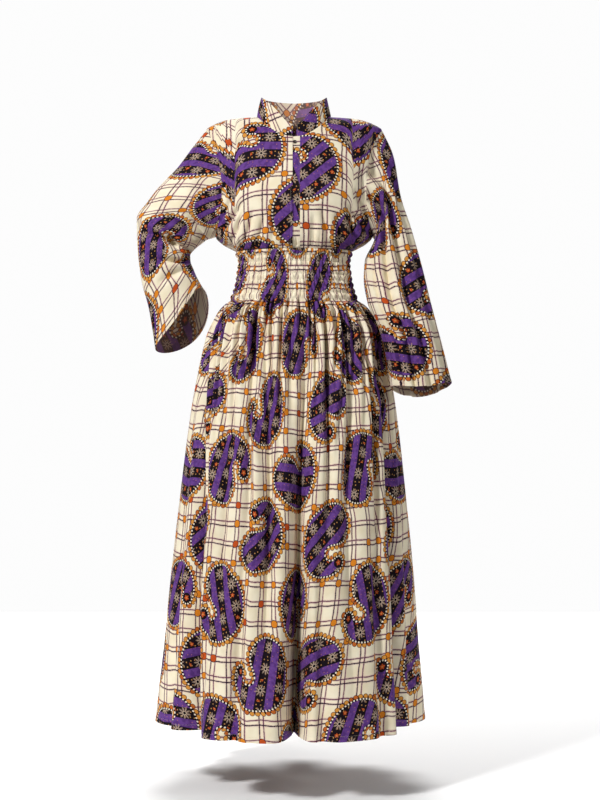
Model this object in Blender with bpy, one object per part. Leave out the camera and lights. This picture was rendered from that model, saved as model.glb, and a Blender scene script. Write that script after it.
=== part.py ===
"""A full-length shirt dress in printed cotton, worn: hollow, with nobody in it.

A lapped bodice with a stand collar and set-in sleeves is sewn at the waist to a gathered skirt,
whose top is shirred with rows of elastic. One arm hangs, the other has its hand on the hip.
Metres, +Z up, front towards -Y. The origin lies midway between the two tops of the shoulder seams,
where the dress hangs on its wearer. Left and right are the wearer's: left is +X.
"""

from collections import namedtuple

import bmesh
import bpy
import numpy as np

# Cloth and seams
CLOTH = 0.0016
SEAM_GAP = 0.0003

# Heights of the seams and ends
WAIST_SEAM = -0.314
SHIRRING_END = -0.429
HEM = -1.410
UNDERARM = -0.280
SHOULDER_TIP = -0.031

# Neckline and front opening
NECK_HALF_WIDTH = 0.087
NECK_DROP_FRONT = 0.055
NECK_DROP_BACK = 0.015
NECK_SHARPNESS = 2.15
LAP_EDGE = 0.003
BAND_SEAM = 0.014
BAND_WIDTH = 0.036
LAP_DEPTH = 0.0024
LAP_FADE_START = 0.026
LAP_FADE_END = 0.070

# How round the body sections are: 2 is an ellipse, more is squarer
TORSO_POWER = 2.3
SKIRT_POWER = 2.1

# Grid of the pieces: cells across and down
BODICE_COLUMNS = 12
NECK_COLUMNS = 5
BODICE_ROWS = 12
SIDE_SEAM_ROWS = 2
MIDDLE_SPACING = 1.35
COLLAR_ROWS = 3
SKIRT_COLUMNS = 44
ROWS_PER_PUFF = 2

# Shirring and gathers
PUFFS = 8
PUFF_HEIGHT = 0.0032
GATHERS = 44
GATHER_HEIGHT = 0.0042
GATHER_FULL = -0.455
GATHER_END = -0.640

# Buttons
BUTTON_RADIUS = 0.0043
BUTTON_THICKNESS = 0.0022
BUTTON_GAP = 0.0003
NECK_BUTTON = (0.0022, -0.0690)
WAIST_BUTTON = (-0.0100, -0.3000)

# Horizontal sections of the bodice, from the neck down to the waist seam
Section = namedtuple("Section", "z half_width front back")
TORSO = (
    Section(-0.314, 0.136, 0.099, 0.088),
    Section(-0.306, 0.152, 0.106, 0.094),
    Section(-0.297, 0.168, 0.110, 0.097),
    Section(-0.280, 0.184, 0.114, 0.101),
    Section(-0.240, 0.187, 0.119, 0.104),
    Section(-0.195, 0.190, 0.121, 0.106),
    Section(-0.150, 0.196, 0.111, 0.105),
    Section(-0.100, 0.203, 0.095, 0.099),
    Section(-0.055, 0.209, 0.081, 0.088),
    Section(-0.031, 0.207, 0.064, 0.074),
    Section(-0.017, 0.187, 0.051, 0.060),
    Section(-0.005, 0.150, 0.035, 0.042),
    Section(0.000, 0.087, 0.026, 0.031),
)

# Where the armhole seam runs, as a share of the section's half width
Armhole = namedtuple("Armhole", "z front back")
ARMHOLE = (
    Armhole(-0.280, 1.000, 1.000),
    Armhole(-0.272, 0.985, 0.988),
    Armhole(-0.262, 0.960, 0.968),
    Armhole(-0.250, 0.938, 0.950),
    Armhole(-0.225, 0.905, 0.928),
    Armhole(-0.200, 0.884, 0.915),
    Armhole(-0.150, 0.860, 0.897),
    Armhole(-0.100, 0.865, 0.895),
    Armhole(-0.060, 0.908, 0.922),
    Armhole(-0.040, 0.962, 0.967),
    Armhole(-0.031, 1.000, 1.000),
)

# Top edge of the collar, by the angle round the neck from the centre front
CollarTop = namedtuple("CollarTop", "angle z")
COLLAR_TOP = (
    CollarTop(0, -0.029),
    CollarTop(14, -0.017),
    CollarTop(28, 0.004),
    CollarTop(45, 0.024),
    CollarTop(65, 0.039),
    CollarTop(90, 0.047),
    CollarTop(180, 0.044),
)
COLLAR_TOP_HALF_WIDTH = 0.0765
COLLAR_TOP_FRONT = 0.069
COLLAR_TOP_BACK = 0.062
COLLAR_LEFT_END = 0.006

# Sleeve rings: the outer and the inner side of each as seen from the front, then its depth.
# Lean carries the back of a ring further down the arm, and bow lets front and back hang lower.
Ring = namedtuple("Ring", "outer_x outer_z inner_x inner_z y half_depth lean bow")
SLEEVE_LEFT = (
    Ring(0.2070, -0.031, 0.1840, -0.280, 0.000, 0.056, 0.000, 0.000),
    Ring(0.2335, -0.092, 0.1910, -0.289, 0.000, 0.061, 0.000, 0.000),
    Ring(0.2500, -0.185, 0.1790, -0.309, -0.003, 0.064, 0.000, 0.000),
    Ring(0.2745, -0.262, 0.1665, -0.338, -0.009, 0.065, 0.000, 0.000),
    Ring(0.3020, -0.365, 0.1635, -0.382, -0.024, 0.066, 0.000, 0.000),
    Ring(0.3165, -0.432, 0.1720, -0.438, -0.043, 0.067, 0.000, 0.000),
    Ring(0.3290, -0.485, 0.1935, -0.488, -0.058, 0.067, 0.003, 0.000),
    Ring(0.3450, -0.548, 0.2115, -0.552, -0.066, 0.067, 0.007, 0.004),
    Ring(0.3636, -0.624, 0.2240, -0.633, -0.072, 0.068, 0.0125, 0.015),
)
SLEEVE_RIGHT = (
    Ring(0.2070, -0.031, 0.1840, -0.280, 0.000, 0.056, 0.000, 0.000),
    Ring(0.2400, -0.073, 0.1925, -0.282, 0.002, 0.066, 0.000, 0.000),
    Ring(0.2760, -0.120, 0.2040, -0.285, 0.006, 0.070, 0.000, 0.000),
    Ring(0.3110, -0.154, 0.2180, -0.294, 0.012, 0.069, 0.000, 0.000),
    Ring(0.3460, -0.197, 0.2350, -0.307, 0.018, 0.066, 0.000, 0.000),
    Ring(0.3710, -0.236, 0.2460, -0.3215, 0.022, 0.063, 0.000, 0.000),
    Ring(0.3700, -0.284, 0.2450, -0.3364, 0.020, 0.060, 0.000, 0.000),
    Ring(0.3655, -0.3387, 0.2385, -0.3530, 0.016, 0.057, 0.003, 0.000),
    Ring(0.3570, -0.390, 0.2290, -0.375, 0.010, 0.052, 0.008, 0.002),
    Ring(0.3410, -0.447, 0.2200, -0.391, 0.003, 0.044, 0.017, 0.008),
    Ring(0.3205, -0.549, 0.2140, -0.402, -0.008, 0.033, 0.031, 0.024),
)
CAP_END = 2.0
CAP_ROWS = 5
ARM_ROWS = 10

# Horizontal sections of the skirt, over the crests of its folds
SKIRT = (
    Section(-0.314, 0.1350, 0.098, 0.087),
    Section(-0.340, 0.1270, 0.094, 0.083),
    Section(-0.375, 0.1310, 0.096, 0.085),
    Section(-0.405, 0.1370, 0.100, 0.090),
    Section(-0.429, 0.1480, 0.106, 0.098),
    Section(-0.440, 0.1640, 0.112, 0.108),
    Section(-0.456, 0.1770, 0.120, 0.118),
    Section(-0.475, 0.1880, 0.127, 0.128),
    Section(-0.4985, 0.2000, 0.136, 0.139),
    Section(-0.571, 0.2180, 0.158, 0.167),
    Section(-0.663, 0.2350, 0.178, 0.186),
    Section(-0.757, 0.2480, 0.196, 0.199),
    Section(-0.898, 0.2640, 0.220, 0.218),
    Section(-1.100, 0.2850, 0.254, 0.247),
    Section(-1.220, 0.2950, 0.274, 0.264),
    Section(-1.345, 0.3080, 0.300, 0.281),
    Section(-1.410, 0.3140, 0.311, 0.292),
)
SKIRT_SWAY = -0.008
SKIRT_ROWS = (-0.442, -0.458, -0.478, -0.510, -0.562, -0.650, -0.790, -0.990, -1.200, -1.410)

# Valleys between the folds of the skirt: the angle round the body from the centre front,
# to the wearer's left, and the depth, each under the shirring, half way down and at the hem
Fold = namedtuple("Fold", "top middle hem width depth_top depth_middle depth_hem")
FOLDS = (
    Fold(8, 3, 2, 4.3, 0.010, 0.034, 0.100),
    Fold(-20, -11, -11, 3.8, 0.013, 0.022, 0.000),
    Fold(-52, -35, -33, 5.0, 0.012, 0.012, 0.000),
    Fold(-78, -57, -51, 6.5, 0.010, 0.036, 0.074),
    Fold(-82, -73, -69, 9.0, 0.000, 0.010, 0.022),
    Fold(46, 27, 26, 4.6, 0.013, 0.012, 0.000),
    Fold(72, 62, 60, 7.0, 0.008, 0.040, 0.086),
    Fold(80, 77, 75, 9.0, 0.000, 0.010, 0.026),
    Fold(-98, -100, -96, 5.0, 0.009, 0.016, 0.022),
    Fold(-122, -117, -113, 6.5, 0.011, 0.034, 0.066),
    Fold(-143, -141, -142, 6.0, 0.010, 0.026, 0.052),
    Fold(-163, -166, -168, 5.5, 0.012, 0.036, 0.084),
    Fold(177, 179, 183, 4.4, 0.010, 0.014, 0.000),
    Fold(160, 160, 158, 6.0, 0.010, 0.030, 0.070),
    Fold(137, 133, 131, 5.0, 0.011, 0.020, 0.030),
    Fold(116, 112, 108, 6.5, 0.009, 0.034, 0.072),
)

PRINT_GROUND = (0.86, 0.77, 0.55, 1.0)
PRINT_PURPLE = (0.15, 0.05, 0.37, 1.0)
BUTTON_BROWN = (0.035, 0.015, 0.012, 1.0)


def smooth(places, values, at):
    """Reads a curve through the given values that never overshoots them."""
    places, values = np.asarray(places, float), np.asarray(values, float)
    if places[0] > places[-1]:
        places, values = places[::-1], values[::-1]
    steps = np.diff(places)
    slopes = np.diff(values) / steps
    before, after = slopes[:-1], slopes[1:]
    turns = before * after <= 0
    total = np.where(turns, 1.0, before + after)
    inner = np.where(turns, 0.0, 2 * before * after / total)
    tangents = np.concatenate([slopes[:1], inner, slopes[-1:]])
    at = np.clip(at, places[0], places[-1])
    cell = np.clip(np.searchsorted(places, at, side="right") - 1, 0, len(steps) - 1)
    step = steps[cell]
    t = (at - places[cell]) / step
    return (
        values[cell] * (1 + 2 * t) * (1 - t) ** 2
        + values[cell + 1] * t**2 * (3 - 2 * t)
        + step * tangents[cell] * t * (1 - t) ** 2
        - step * tangents[cell + 1] * t**2 * (1 - t)
    )


def read(table, column, at, key="z"):
    """One column of a table, between its rows."""
    return smooth([getattr(row, key) for row in table], [getattr(row, column) for row in table], at)


def unit(vectors):
    return vectors / np.maximum(np.linalg.norm(vectors, axis=-1, keepdims=True), 1e-12)


def on_torso(x, z, face):
    """The point of the bodice's front (face -1) or back (face 1) over a place of the front view."""
    half_width = read(TORSO, "half_width", z)
    deep = read(TORSO, "front" if face < 0 else "back", z)
    share = np.clip(np.abs(x) / half_width, 0, 1)
    y = face * deep * (1 - share**TORSO_POWER) ** (1 / TORSO_POWER)
    return np.stack([x, y, z], axis=-1)


def shoulder_z(x):
    """Height of the shoulder seam, which is where the section is as wide as x."""
    heights = np.linspace(SHOULDER_TIP, 0, 400)
    widths = read(TORSO, "half_width", heights)
    return np.interp(x, widths[::-1], heights[::-1])


def neck_z(x, face):
    """Height of the neckline at x."""
    drop = NECK_DROP_FRONT if face < 0 else NECK_DROP_BACK
    level = np.sqrt(1 - np.clip(np.abs(x) / NECK_HALF_WIDTH, 0, 1) ** 2)
    return -drop * level**NECK_SHARPNESS


def outer_edge(v, face):
    """x and z along the side seam and then the armhole, for v from the waist to the shoulder."""
    side_share = SIDE_SEAM_ROWS / BODICE_ROWS
    up = np.clip((v - side_share) / (1 - side_share), 0, 1)
    side_z = WAIST_SEAM + (UNDERARM - WAIST_SEAM) * np.clip(v / side_share, 0, 1)
    levels = UNDERARM + (SHOULDER_TIP - UNDERARM) * (1 - np.cos(np.linspace(0, np.pi, 300))) / 2
    widths = read(ARMHOLE, "front" if face < 0 else "back", levels) * read(TORSO, "half_width", levels)
    stretches = np.linalg.norm(np.diff(on_torso(widths, levels, face), axis=0), axis=1)
    lengths = np.concatenate([[0], np.cumsum(stretches)]) / np.sum(stretches)
    on_side = v < side_share
    z = np.where(on_side, side_z, np.interp(up, lengths, levels))
    share = np.where(on_side, 1.0, read(ARMHOLE, "front" if face < 0 else "back", z))
    return share * read(TORSO, "half_width", z), z


def bodice(u, v, face, edge):
    """A point of one half of the bodice, at +X: u runs from the middle to the side,
    v from the waist to the neck and shoulder, and edge is how far out the middle edge lies."""
    neck_share = NECK_COLUMNS / BODICE_COLUMNS
    tip_x = read(TORSO, "half_width", SHOULDER_TIP)
    on_neck = np.clip(u / neck_share, 0, 1)
    on_shoulder = np.clip((u - neck_share) / (1 - neck_share), 0, 1)
    neck_x = edge + (NECK_HALF_WIDTH - edge) * np.sin(on_neck * np.pi / 2)
    top_x = neck_x + (tip_x - NECK_HALF_WIDTH) * on_shoulder
    top_z = np.where(u < neck_share, neck_z(neck_x, face), shoulder_z(top_x))
    side_x, side_z = outer_edge(v, face)
    start_z = neck_z(np.array(edge), face)
    middle_z = WAIST_SEAM + (start_z - WAIST_SEAM) * v**MIDDLE_SPACING
    share = (1 - v) * np.sin(u * np.pi / 2) + v * (top_x - edge) / (tip_x - edge)
    x = edge + (side_x - edge) * share
    bulge = top_z - (1 - u) * start_z - u * SHOULDER_TIP
    z = v * bulge + (1 - u) * middle_z + u * side_z
    points = on_torso(x, z, face)
    on_seam = ((v > 1 - 1e-9) & (u > neck_share - 1e-9)) | ((u > 1 - 1e-9) & (z <= UNDERARM + 1e-9))
    points[..., 1] = np.where(on_seam, 0.0, points[..., 1])
    return points


def mesh_shares(columns, rows):
    """u across and v up, as two arrays of one row more and one column more than the cells."""
    return np.meshgrid(np.linspace(0, 1, columns + 1), np.linspace(0, 1, rows + 1))


def mirrored(points):
    return points * (-1, 1, 1)


def set_back(points):
    """The left front and its band lie one layer under the right front near the middle."""
    away = np.clip((np.abs(points[..., 0]) - LAP_FADE_START) / (LAP_FADE_END - LAP_FADE_START), 0, 1)
    moved = points.copy()
    moved[..., 1] += LAP_DEPTH * (1 - away) ** 2 * (1 + 2 * away)
    return moved


def front_right():
    u, v = mesh_shares(BODICE_COLUMNS, BODICE_ROWS)
    return mirrored(bodice(u, v, -1, LAP_EDGE))[:, ::-1]


def front_left():
    u, v = mesh_shares(BODICE_COLUMNS, BODICE_ROWS)
    return set_back(bodice(u, v, -1, BAND_SEAM))


def band():
    """The strip under the right front's edge, from the left front's edge across the middle."""
    across = (BAND_SEAM - BAND_WIDTH, COLLAR_LEFT_END, BAND_SEAM)
    x, v = np.meshgrid(across, np.linspace(0, 1, BODICE_ROWS + 1))
    start_z = neck_z(x, -1)
    z = WAIST_SEAM + (start_z - WAIST_SEAM) * v**MIDDLE_SPACING
    return set_back(on_torso(x, z, -1))


def back():
    u, v = mesh_shares(BODICE_COLUMNS, BODICE_ROWS)
    half = bodice(u, v, 1, 0.0)
    return np.concatenate([half[:, ::-1], mirrored(half)[:, 1:]], axis=1)


def collar_line():
    """The neckline that the collar is sewn to, from the right front round the back to the left."""
    on_neck = np.linspace(0, 1, NECK_COLUMNS + 1)
    right = -(LAP_EDGE + (NECK_HALF_WIDTH - LAP_EDGE) * np.sin(on_neck * np.pi / 2))
    behind = NECK_HALF_WIDTH * np.sin(on_neck * np.pi / 2)
    left = BAND_SEAM + (NECK_HALF_WIDTH - BAND_SEAM) * np.sin(on_neck * np.pi / 2)
    left = np.append(left[::-1], COLLAR_LEFT_END)
    front_points = on_torso(right, neck_z(right, -1), -1)
    left_points = set_back(on_torso(left, neck_z(left, -1), -1))
    back_x = np.concatenate([-behind[::-1][1:], behind[1:]])
    back_points = on_torso(back_x, neck_z(back_x, 1), 1)
    for points in (front_points, left_points, back_points):
        on_seam = np.abs(points[:, 0]) > NECK_HALF_WIDTH - 1e-9
        points[:, 1] = np.where(on_seam, 0.0, points[:, 1])
    return np.concatenate([front_points, back_points[:-1], left_points])


def collar():
    line = collar_line()
    width = np.clip(np.abs(line[:, 0]) / NECK_HALF_WIDTH, 0, 1)
    angle = np.degrees(np.arcsin(width))
    behind = np.arange(len(line)) * 1.0
    behind = (behind > NECK_COLUMNS) & (behind < 3 * NECK_COLUMNS)
    angle = np.where(behind, 180 - angle, angle)
    turn = np.radians(angle)
    reach = np.where(np.cos(turn) > 0, COLLAR_TOP_FRONT, COLLAR_TOP_BACK)
    x = np.sign(line[:, 0]) * COLLAR_TOP_HALF_WIDTH * np.sin(turn)
    top = np.stack([x, -reach * np.cos(turn), read(COLLAR_TOP, "z", angle, "angle")], axis=-1)
    rise = np.linspace(0, 1, COLLAR_ROWS + 1)[:, None, None]
    return line * (1 - rise) + top * rise


def sleeve_ring(turn, along, rings):
    """A point at an angle round the sleeve (0 outer side, positive to the front), and so far
    along its rings."""
    places = np.arange(len(rings))
    value = {name: smooth(places, [getattr(ring, name) for ring in rings], along) for name in Ring._fields}
    outer = np.stack([value["outer_x"], value["y"], value["outer_z"]], axis=-1)
    inner = np.stack([value["inner_x"], value["y"], value["inner_z"]], axis=-1)
    half = (outer - inner) / 2
    length = np.linalg.norm(half, axis=-1)
    down = np.stack([half[..., 2], 0 * length, -half[..., 0]], axis=-1) / length[..., None]
    down = down * np.sign(-down[..., 2:3] + 1e-9)
    sag = value["bow"] * np.sin(turn) ** 2 - value["lean"] * np.sin(turn)
    forward = np.stack([0 * length, -value["half_depth"] * np.sin(turn), 0 * length], axis=-1)
    return (outer + inner) / 2 + half * np.cos(turn)[..., None] + down * sag[..., None] + forward


def sleeve(rings):
    """Rows from the armhole to the end of the sleeve, at +X. Columns start at the underarm and
    run up the front, over the shoulder and down the back."""
    rows = BODICE_ROWS - SIDE_SEAM_ROWS
    v = np.linspace(SIDE_SEAM_ROWS / BODICE_ROWS, 1, rows + 1)
    seam = []
    for face in (-1, 1):
        x, z = outer_edge(v, face)
        points = on_torso(x, z, face)
        points[[0, -1], 1] = 0.0
        seam.append(points)
    armhole = np.concatenate([seam[0], seam[1][::-1][1:]])
    turn = np.pi * (1 - np.arange(2 * rows + 1) / rows)
    cap = np.linspace(0, CAP_END, CAP_ROWS + 1)
    arm = np.linspace(CAP_END, len(rings) - 1, ARM_ROWS + 1)[1:]
    along = np.concatenate([cap, arm])
    turns, alongs = np.meshgrid(turn, along)
    points = sleeve_ring(turns, alongs, rings)
    fade = np.clip(1 - along / CAP_END, 0, 1)[:, None, None] ** 2
    return points + fade * (armhole - sleeve_ring(turn, 0 * turn, rings))


def fold_depth(angle, z):
    """How far the skirt lies inside the crests of its folds."""
    down = (z - SHIRRING_END) / (HEM - SHIRRING_END)
    starts = np.clip((SHIRRING_END - z) / (SHIRRING_END - GATHER_FULL), 0, 1)
    total = 0 * angle
    for fold in FOLDS:
        centre = smooth((0, 0.5, 1), (fold.top, fold.middle, fold.hem), down)
        depth = smooth((0, 0.5, 1), (fold.depth_top, fold.depth_middle, fold.depth_hem), down)
        away = (angle - centre + 180) % 360 - 180
        total = total + starts * depth * np.exp(-((away / fold.width) ** 2))
    return total


def gather_wave(angle):
    return np.cos(np.radians(angle) * GATHERS) * (0.8 + 0.2 * np.sin(np.radians(angle) * 5 + 1))


def skirt(angle, z):
    """A point of the skirt at an angle round the body from the centre front."""
    turn = np.radians(angle)
    across, ahead = np.sin(turn), np.cos(turn)
    half_width = read(SKIRT, "half_width", z)
    deep = np.where(ahead > 0, read(SKIRT, "front", z), read(SKIRT, "back", z))
    down = np.clip((SHIRRING_END - z) / (SHIRRING_END - HEM), 0, 1)
    x = half_width * np.sign(across) * np.abs(across) ** (2 / SKIRT_POWER) + SKIRT_SWAY * down**2
    y = -deep * np.sign(ahead) * np.abs(ahead) ** (2 / SKIRT_POWER)
    out = unit(np.stack([across / half_width, -ahead / deep, 0 * z], axis=-1))
    rise = np.clip((SHIRRING_END - z) / (SHIRRING_END - GATHER_FULL), 0, 1)
    fall = np.clip((z - GATHER_END) / (GATHER_FULL - GATHER_END), 0, 1)
    push = GATHER_HEIGHT * rise * fall * gather_wave(angle) - fold_depth(angle, z)
    return np.stack([x, y, z], axis=-1) + out * push[..., None]


def skirt_heights():
    """Rows down the skirt: two to each puff of the shirring, then wider ones to the hem."""
    shirring = np.linspace(WAIST_SEAM, SHIRRING_END, PUFFS * ROWS_PER_PUFF + 1)
    return np.concatenate([shirring, SKIRT_ROWS])


def puff(angle, z):
    """How far the shirring stands out between two rows of elastic."""
    along = (WAIST_SEAM - z) / (WAIST_SEAM - SHIRRING_END)
    between = np.where(along < 1, np.sin(np.pi * PUFFS * along) ** 2, 0.0)
    return PUFF_HEIGHT * between * (0.6 + 0.4 * gather_wave(angle))


def skirt_panel(first, last):
    """Half of the skirt, from one side seam to the other, and how far its outside is raised."""
    angle, z = np.meshgrid(np.linspace(first, last, SKIRT_COLUMNS + 1), skirt_heights())
    return skirt(angle, z), puff(angle, z)


def directions(points, closed):
    """The outward direction at each point of a grid, from its neighbours."""
    down = np.gradient(points, axis=0)
    if closed:
        ring = points[:, :-1]
        across = np.roll(ring, -1, axis=1) - np.roll(ring, 1, axis=1)
        across = np.concatenate([across, across[:, :1]], axis=1)
    else:
        across = np.gradient(points, axis=1)
    return unit(np.cross(across, down))


def share_directions(panels):
    """Makes both sides of each seam face the same way, so that their cut edges are parallel."""
    sums = {}
    for panel in panels:
        for place, facing in zip(panel.points.reshape(-1, 3), panel.facing.reshape(-1, 3)):
            key = tuple(np.round(place, 6))
            sums[key] = sums.get(key, 0) + facing
    for panel in panels:
        keys = [tuple(np.round(place, 6)) for place in panel.points.reshape(-1, 3)]
        panel.facing[:] = unit(np.array([sums[key] for key in keys])).reshape(panel.points.shape)


def open_seam(points, facing, border, neighbour):
    """Draws a border back from its seam by half of the gap."""
    along = unit(np.gradient(points[border], axis=0))
    inward = points[neighbour] - points[border]
    for line in (facing[border], along):
        inward = inward - line * np.sum(inward * line, axis=-1, keepdims=True)
    return unit(inward) * SEAM_GAP / 2


BORDERS = {
    "first_row": (np.s_[0], np.s_[1]),
    "last_row": (np.s_[-1], np.s_[-2]),
    "first_column": (np.s_[:, 0], np.s_[:, 1]),
    "last_column": (np.s_[:, -1], np.s_[:, -2]),
}


class Panel:
    """A piece of cloth as a grid of points, sewn along some of its borders."""

    def __init__(self, name, points, sewn, outward, closed=False, level=None, raised=0.0):
        self.name = name
        self.points = points
        self.sewn = sewn
        self.closed = closed
        self.level = level
        self.raised = raised
        self.facing = directions(points, closed) * outward

    def walls(self):
        """The inner and the outer points of the cloth, drawn back at its seams."""
        facing = self.facing.copy()
        if self.level:
            border = BORDERS[self.level][0]
            facing[border] = unit(facing[border] * (1, 1, 0))
        points = self.points.copy()
        for name in self.sewn:
            border, neighbour = BORDERS[name]
            points[border] += open_seam(self.points, facing, border, neighbour)
        lift = CLOTH / 2 + np.broadcast_to(self.raised, points.shape[:2])
        return points - facing * CLOTH / 2, points + facing * lift[..., None]


def material(name, colour, roughness):
    made = bpy.data.materials.new(name)
    made.use_nodes = True
    shader = made.node_tree.nodes["Principled BSDF"]
    shader.inputs["Base Color"].default_value = colour
    shader.inputs["Roughness"].default_value = roughness
    shader.inputs["Metallic"].default_value = 0.0
    made.diffuse_color = colour
    return made


def finish(name, bm, collection, surface):
    mesh = bpy.data.meshes.new(name)
    bm.to_mesh(mesh)
    bm.free()
    mesh.materials.append(surface)
    mesh.shade_smooth()
    piece = bpy.data.objects.new(name, mesh)
    collection.objects.link(piece)
    return piece


def cloth_wall(panel, collection, surface):
    """A sheet shaped to the inner points, then extruded to the outer ones."""
    inner, outer = panel.walls()
    rows, columns = inner.shape[0] - 1, inner.shape[1] - 1
    bm = bmesh.new()
    row_of = bm.verts.layers.int.new("row")
    column_of = bm.verts.layers.int.new("column")
    bmesh.ops.create_grid(bm, x_segments=columns, y_segments=rows, size=0.5)
    for vert in bm.verts:
        column = round((vert.co.x + 0.5) * columns)
        row = round((vert.co.y + 0.5) * rows)
        vert[column_of] = column % columns if panel.closed else column
        vert[row_of] = row
        vert.co = inner[vert[row_of], vert[column_of]]
    if panel.closed:
        bmesh.ops.remove_doubles(bm, verts=bm.verts, dist=1e-6)
    made = bmesh.ops.extrude_face_region(bm, geom=bm.faces[:], use_keep_orig=True)
    for vert in made["geom"]:
        if isinstance(vert, bmesh.types.BMVert):
            vert.co = outer[vert[row_of], vert[column_of]]
    bmesh.ops.recalc_face_normals(bm, faces=bm.faces)
    return finish(panel.name, bm, collection, surface)


def button(name, place, set_under, collection, surface):
    """A small round button, rounded at its rim, lying on the cloth at a place of the front view."""
    x, z = np.array(place[0]), np.array(place[1])
    spot = on_torso(x, z, -1)
    if set_under:
        spot = set_back(spot)
    step = BUTTON_RADIUS
    across = on_torso(x + step, z, -1) - on_torso(x - step, z, -1)
    upward = on_torso(x, z + step, -1) - on_torso(x, z - step, -1)
    out = unit(np.cross(across, upward))
    bm = bmesh.new()
    bmesh.ops.create_cone(
        bm, cap_ends=True, segments=16, radius1=BUTTON_RADIUS, radius2=BUTTON_RADIUS, depth=BUTTON_THICKNESS
    )
    rims = [edge for edge in bm.edges if abs(edge.verts[0].co.z - edge.verts[1].co.z) < 1e-6]
    bmesh.ops.bevel(
        bm, geom=rims, offset=BUTTON_THICKNESS * 0.3, offset_type="OFFSET", segments=1,
        profile=0.5, affect="EDGES", material=-1,
    )
    piece = finish(name, bm, collection, surface)
    lift = CLOTH / 2 + BUTTON_GAP + BUTTON_THICKNESS / 2
    piece.location = spot + out * lift
    sideways = unit(across)
    piece.rotation_euler = button_turn(sideways, np.cross(out, sideways), out)
    return piece


def button_turn(sideways, upward, out):
    """Euler angles of the frame whose axes are given."""
    turn_y = -np.arcsin(sideways[2])
    turn_x = np.arctan2(upward[2], out[2])
    turn_z = np.arctan2(sideways[1], sideways[0])
    return turn_x, turn_y, turn_z


def clear_scene():
    for piece in list(bpy.data.objects):
        bpy.data.objects.remove(piece, do_unlink=True)


clear_scene()
dress = bpy.data.collections.new("ankara_shirt_dress")
bpy.context.scene.collection.children.link(dress)

skirt_front, front_puffs = skirt_panel(-90, 90)
skirt_back, back_puffs = skirt_panel(90, 270)
bodice_sewn = ("first_row", "last_row", "first_column", "last_column")
panels = (
    Panel(
        "bodice_front_right", front_right(), ("first_row", "last_row", "first_column"), 1,
        level="first_row",
    ),
    Panel("bodice_front_left", front_left(), bodice_sewn, 1, level="first_row"),
    Panel("button_band", band(), ("first_row", "last_row", "last_column"), 1, level="first_row"),
    Panel("bodice_back", back(), bodice_sewn, 1, level="first_row"),
    Panel("collar", collar(), ("first_row",), -1),
    Panel("sleeve_right", mirrored(sleeve(SLEEVE_RIGHT)), ("first_row",), 1, closed=True),
    Panel("sleeve_left", sleeve(SLEEVE_LEFT), ("first_row",), -1, closed=True),
    Panel(
        "skirt_front", skirt_front, ("first_row", "first_column", "last_column"), -1,
        level="first_row", raised=front_puffs,
    ),
    Panel(
        "skirt_back", skirt_back, ("first_row", "first_column", "last_column"), -1,
        level="first_row", raised=back_puffs,
    ),
)
share_directions(panels)
for panel in panels:
    colour = PRINT_PURPLE if panel.name in ("collar", "button_band") else PRINT_GROUND
    cloth_wall(panel, dress, material(panel.name, colour, 0.82))
button("button_neck", NECK_BUTTON, True, dress, material("button_neck", BUTTON_BROWN, 0.35))
button("button_waist", WAIST_BUTTON, False, dress, material("button_waist", BUTTON_BROWN, 0.35))
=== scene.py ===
from collections import namedtuple

import bmesh
import bpy
import numpy as np
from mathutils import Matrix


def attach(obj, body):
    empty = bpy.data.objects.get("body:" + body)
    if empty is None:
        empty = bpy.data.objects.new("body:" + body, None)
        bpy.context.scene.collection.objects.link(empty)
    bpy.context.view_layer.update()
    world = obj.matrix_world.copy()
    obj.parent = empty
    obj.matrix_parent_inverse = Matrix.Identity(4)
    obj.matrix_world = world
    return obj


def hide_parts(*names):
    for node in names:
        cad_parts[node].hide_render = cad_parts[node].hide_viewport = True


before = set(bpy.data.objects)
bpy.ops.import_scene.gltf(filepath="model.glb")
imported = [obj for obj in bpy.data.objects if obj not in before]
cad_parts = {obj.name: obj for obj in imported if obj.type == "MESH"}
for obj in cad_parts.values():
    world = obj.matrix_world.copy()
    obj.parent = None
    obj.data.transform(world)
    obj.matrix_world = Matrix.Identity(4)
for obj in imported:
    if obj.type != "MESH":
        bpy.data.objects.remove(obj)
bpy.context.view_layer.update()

# ---------------------------------------------------------------------------------------------
# Back of the bodice: one piece of wax-printed cotton, cut with a shallow neck and shaped to the
# shoulders. It is the first piece laid out, so the cloth, its print and its sewing start here.
# ---------------------------------------------------------------------------------------------
CLOTH = 0.0011
SEAM_DIP = 0.0007
SEAM_DIP_WIDTH = 0.0028
SEAM_CALM = 0.008
SEAM_CALM_POWER = 0.8
NEARLY = 1e-9
TOUCH = 1e-6

WAIST_SEAM = -0.314
UNDERARM = -0.280
SHOULDER_TIP = -0.031
NECK_HALF_WIDTH = 0.087
NECK_DROP_FRONT = 0.055
NECK_DROP_BACK = 0.015
NECK_SHARPNESS = 2.15
TORSO_POWER = 2.3

BODICE_COLUMNS = 108
NECK_COLUMNS = 45
BODICE_ROWS = 96
SIDE_SEAM_ROWS = 16
MIDDLE_SPACING = 1.35
SHOULDER_SAMPLES = 400
ARMHOLE_SAMPLES = 300


def table(kind, lengths, *rows):
    """Rows of measures. The columns named as lengths are given in millimetres."""
    divisors = [1000 if name in lengths.split() else 1 for name in kind._fields]
    return tuple(kind(*(value / size for value, size in zip(row, divisors))) for row in rows)


Section = namedtuple("Section", "z half_width front back")
TORSO = table(
    Section, "z half_width front back",
    (-314, 136, 99, 88),
    (-306, 152, 106, 94),
    (-297, 168, 110, 97),
    (-280, 184, 114, 101),
    (-240, 187, 119, 104),
    (-195, 190, 121, 106),
    (-150, 196, 111, 105),
    (-100, 203, 95, 99),
    (-55, 209, 81, 88),
    (-31, 207, 64, 74),
    (-17, 187, 51, 60),
    (-5, 150, 35, 42),
    (0, 87, 26, 31),
)

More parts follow.
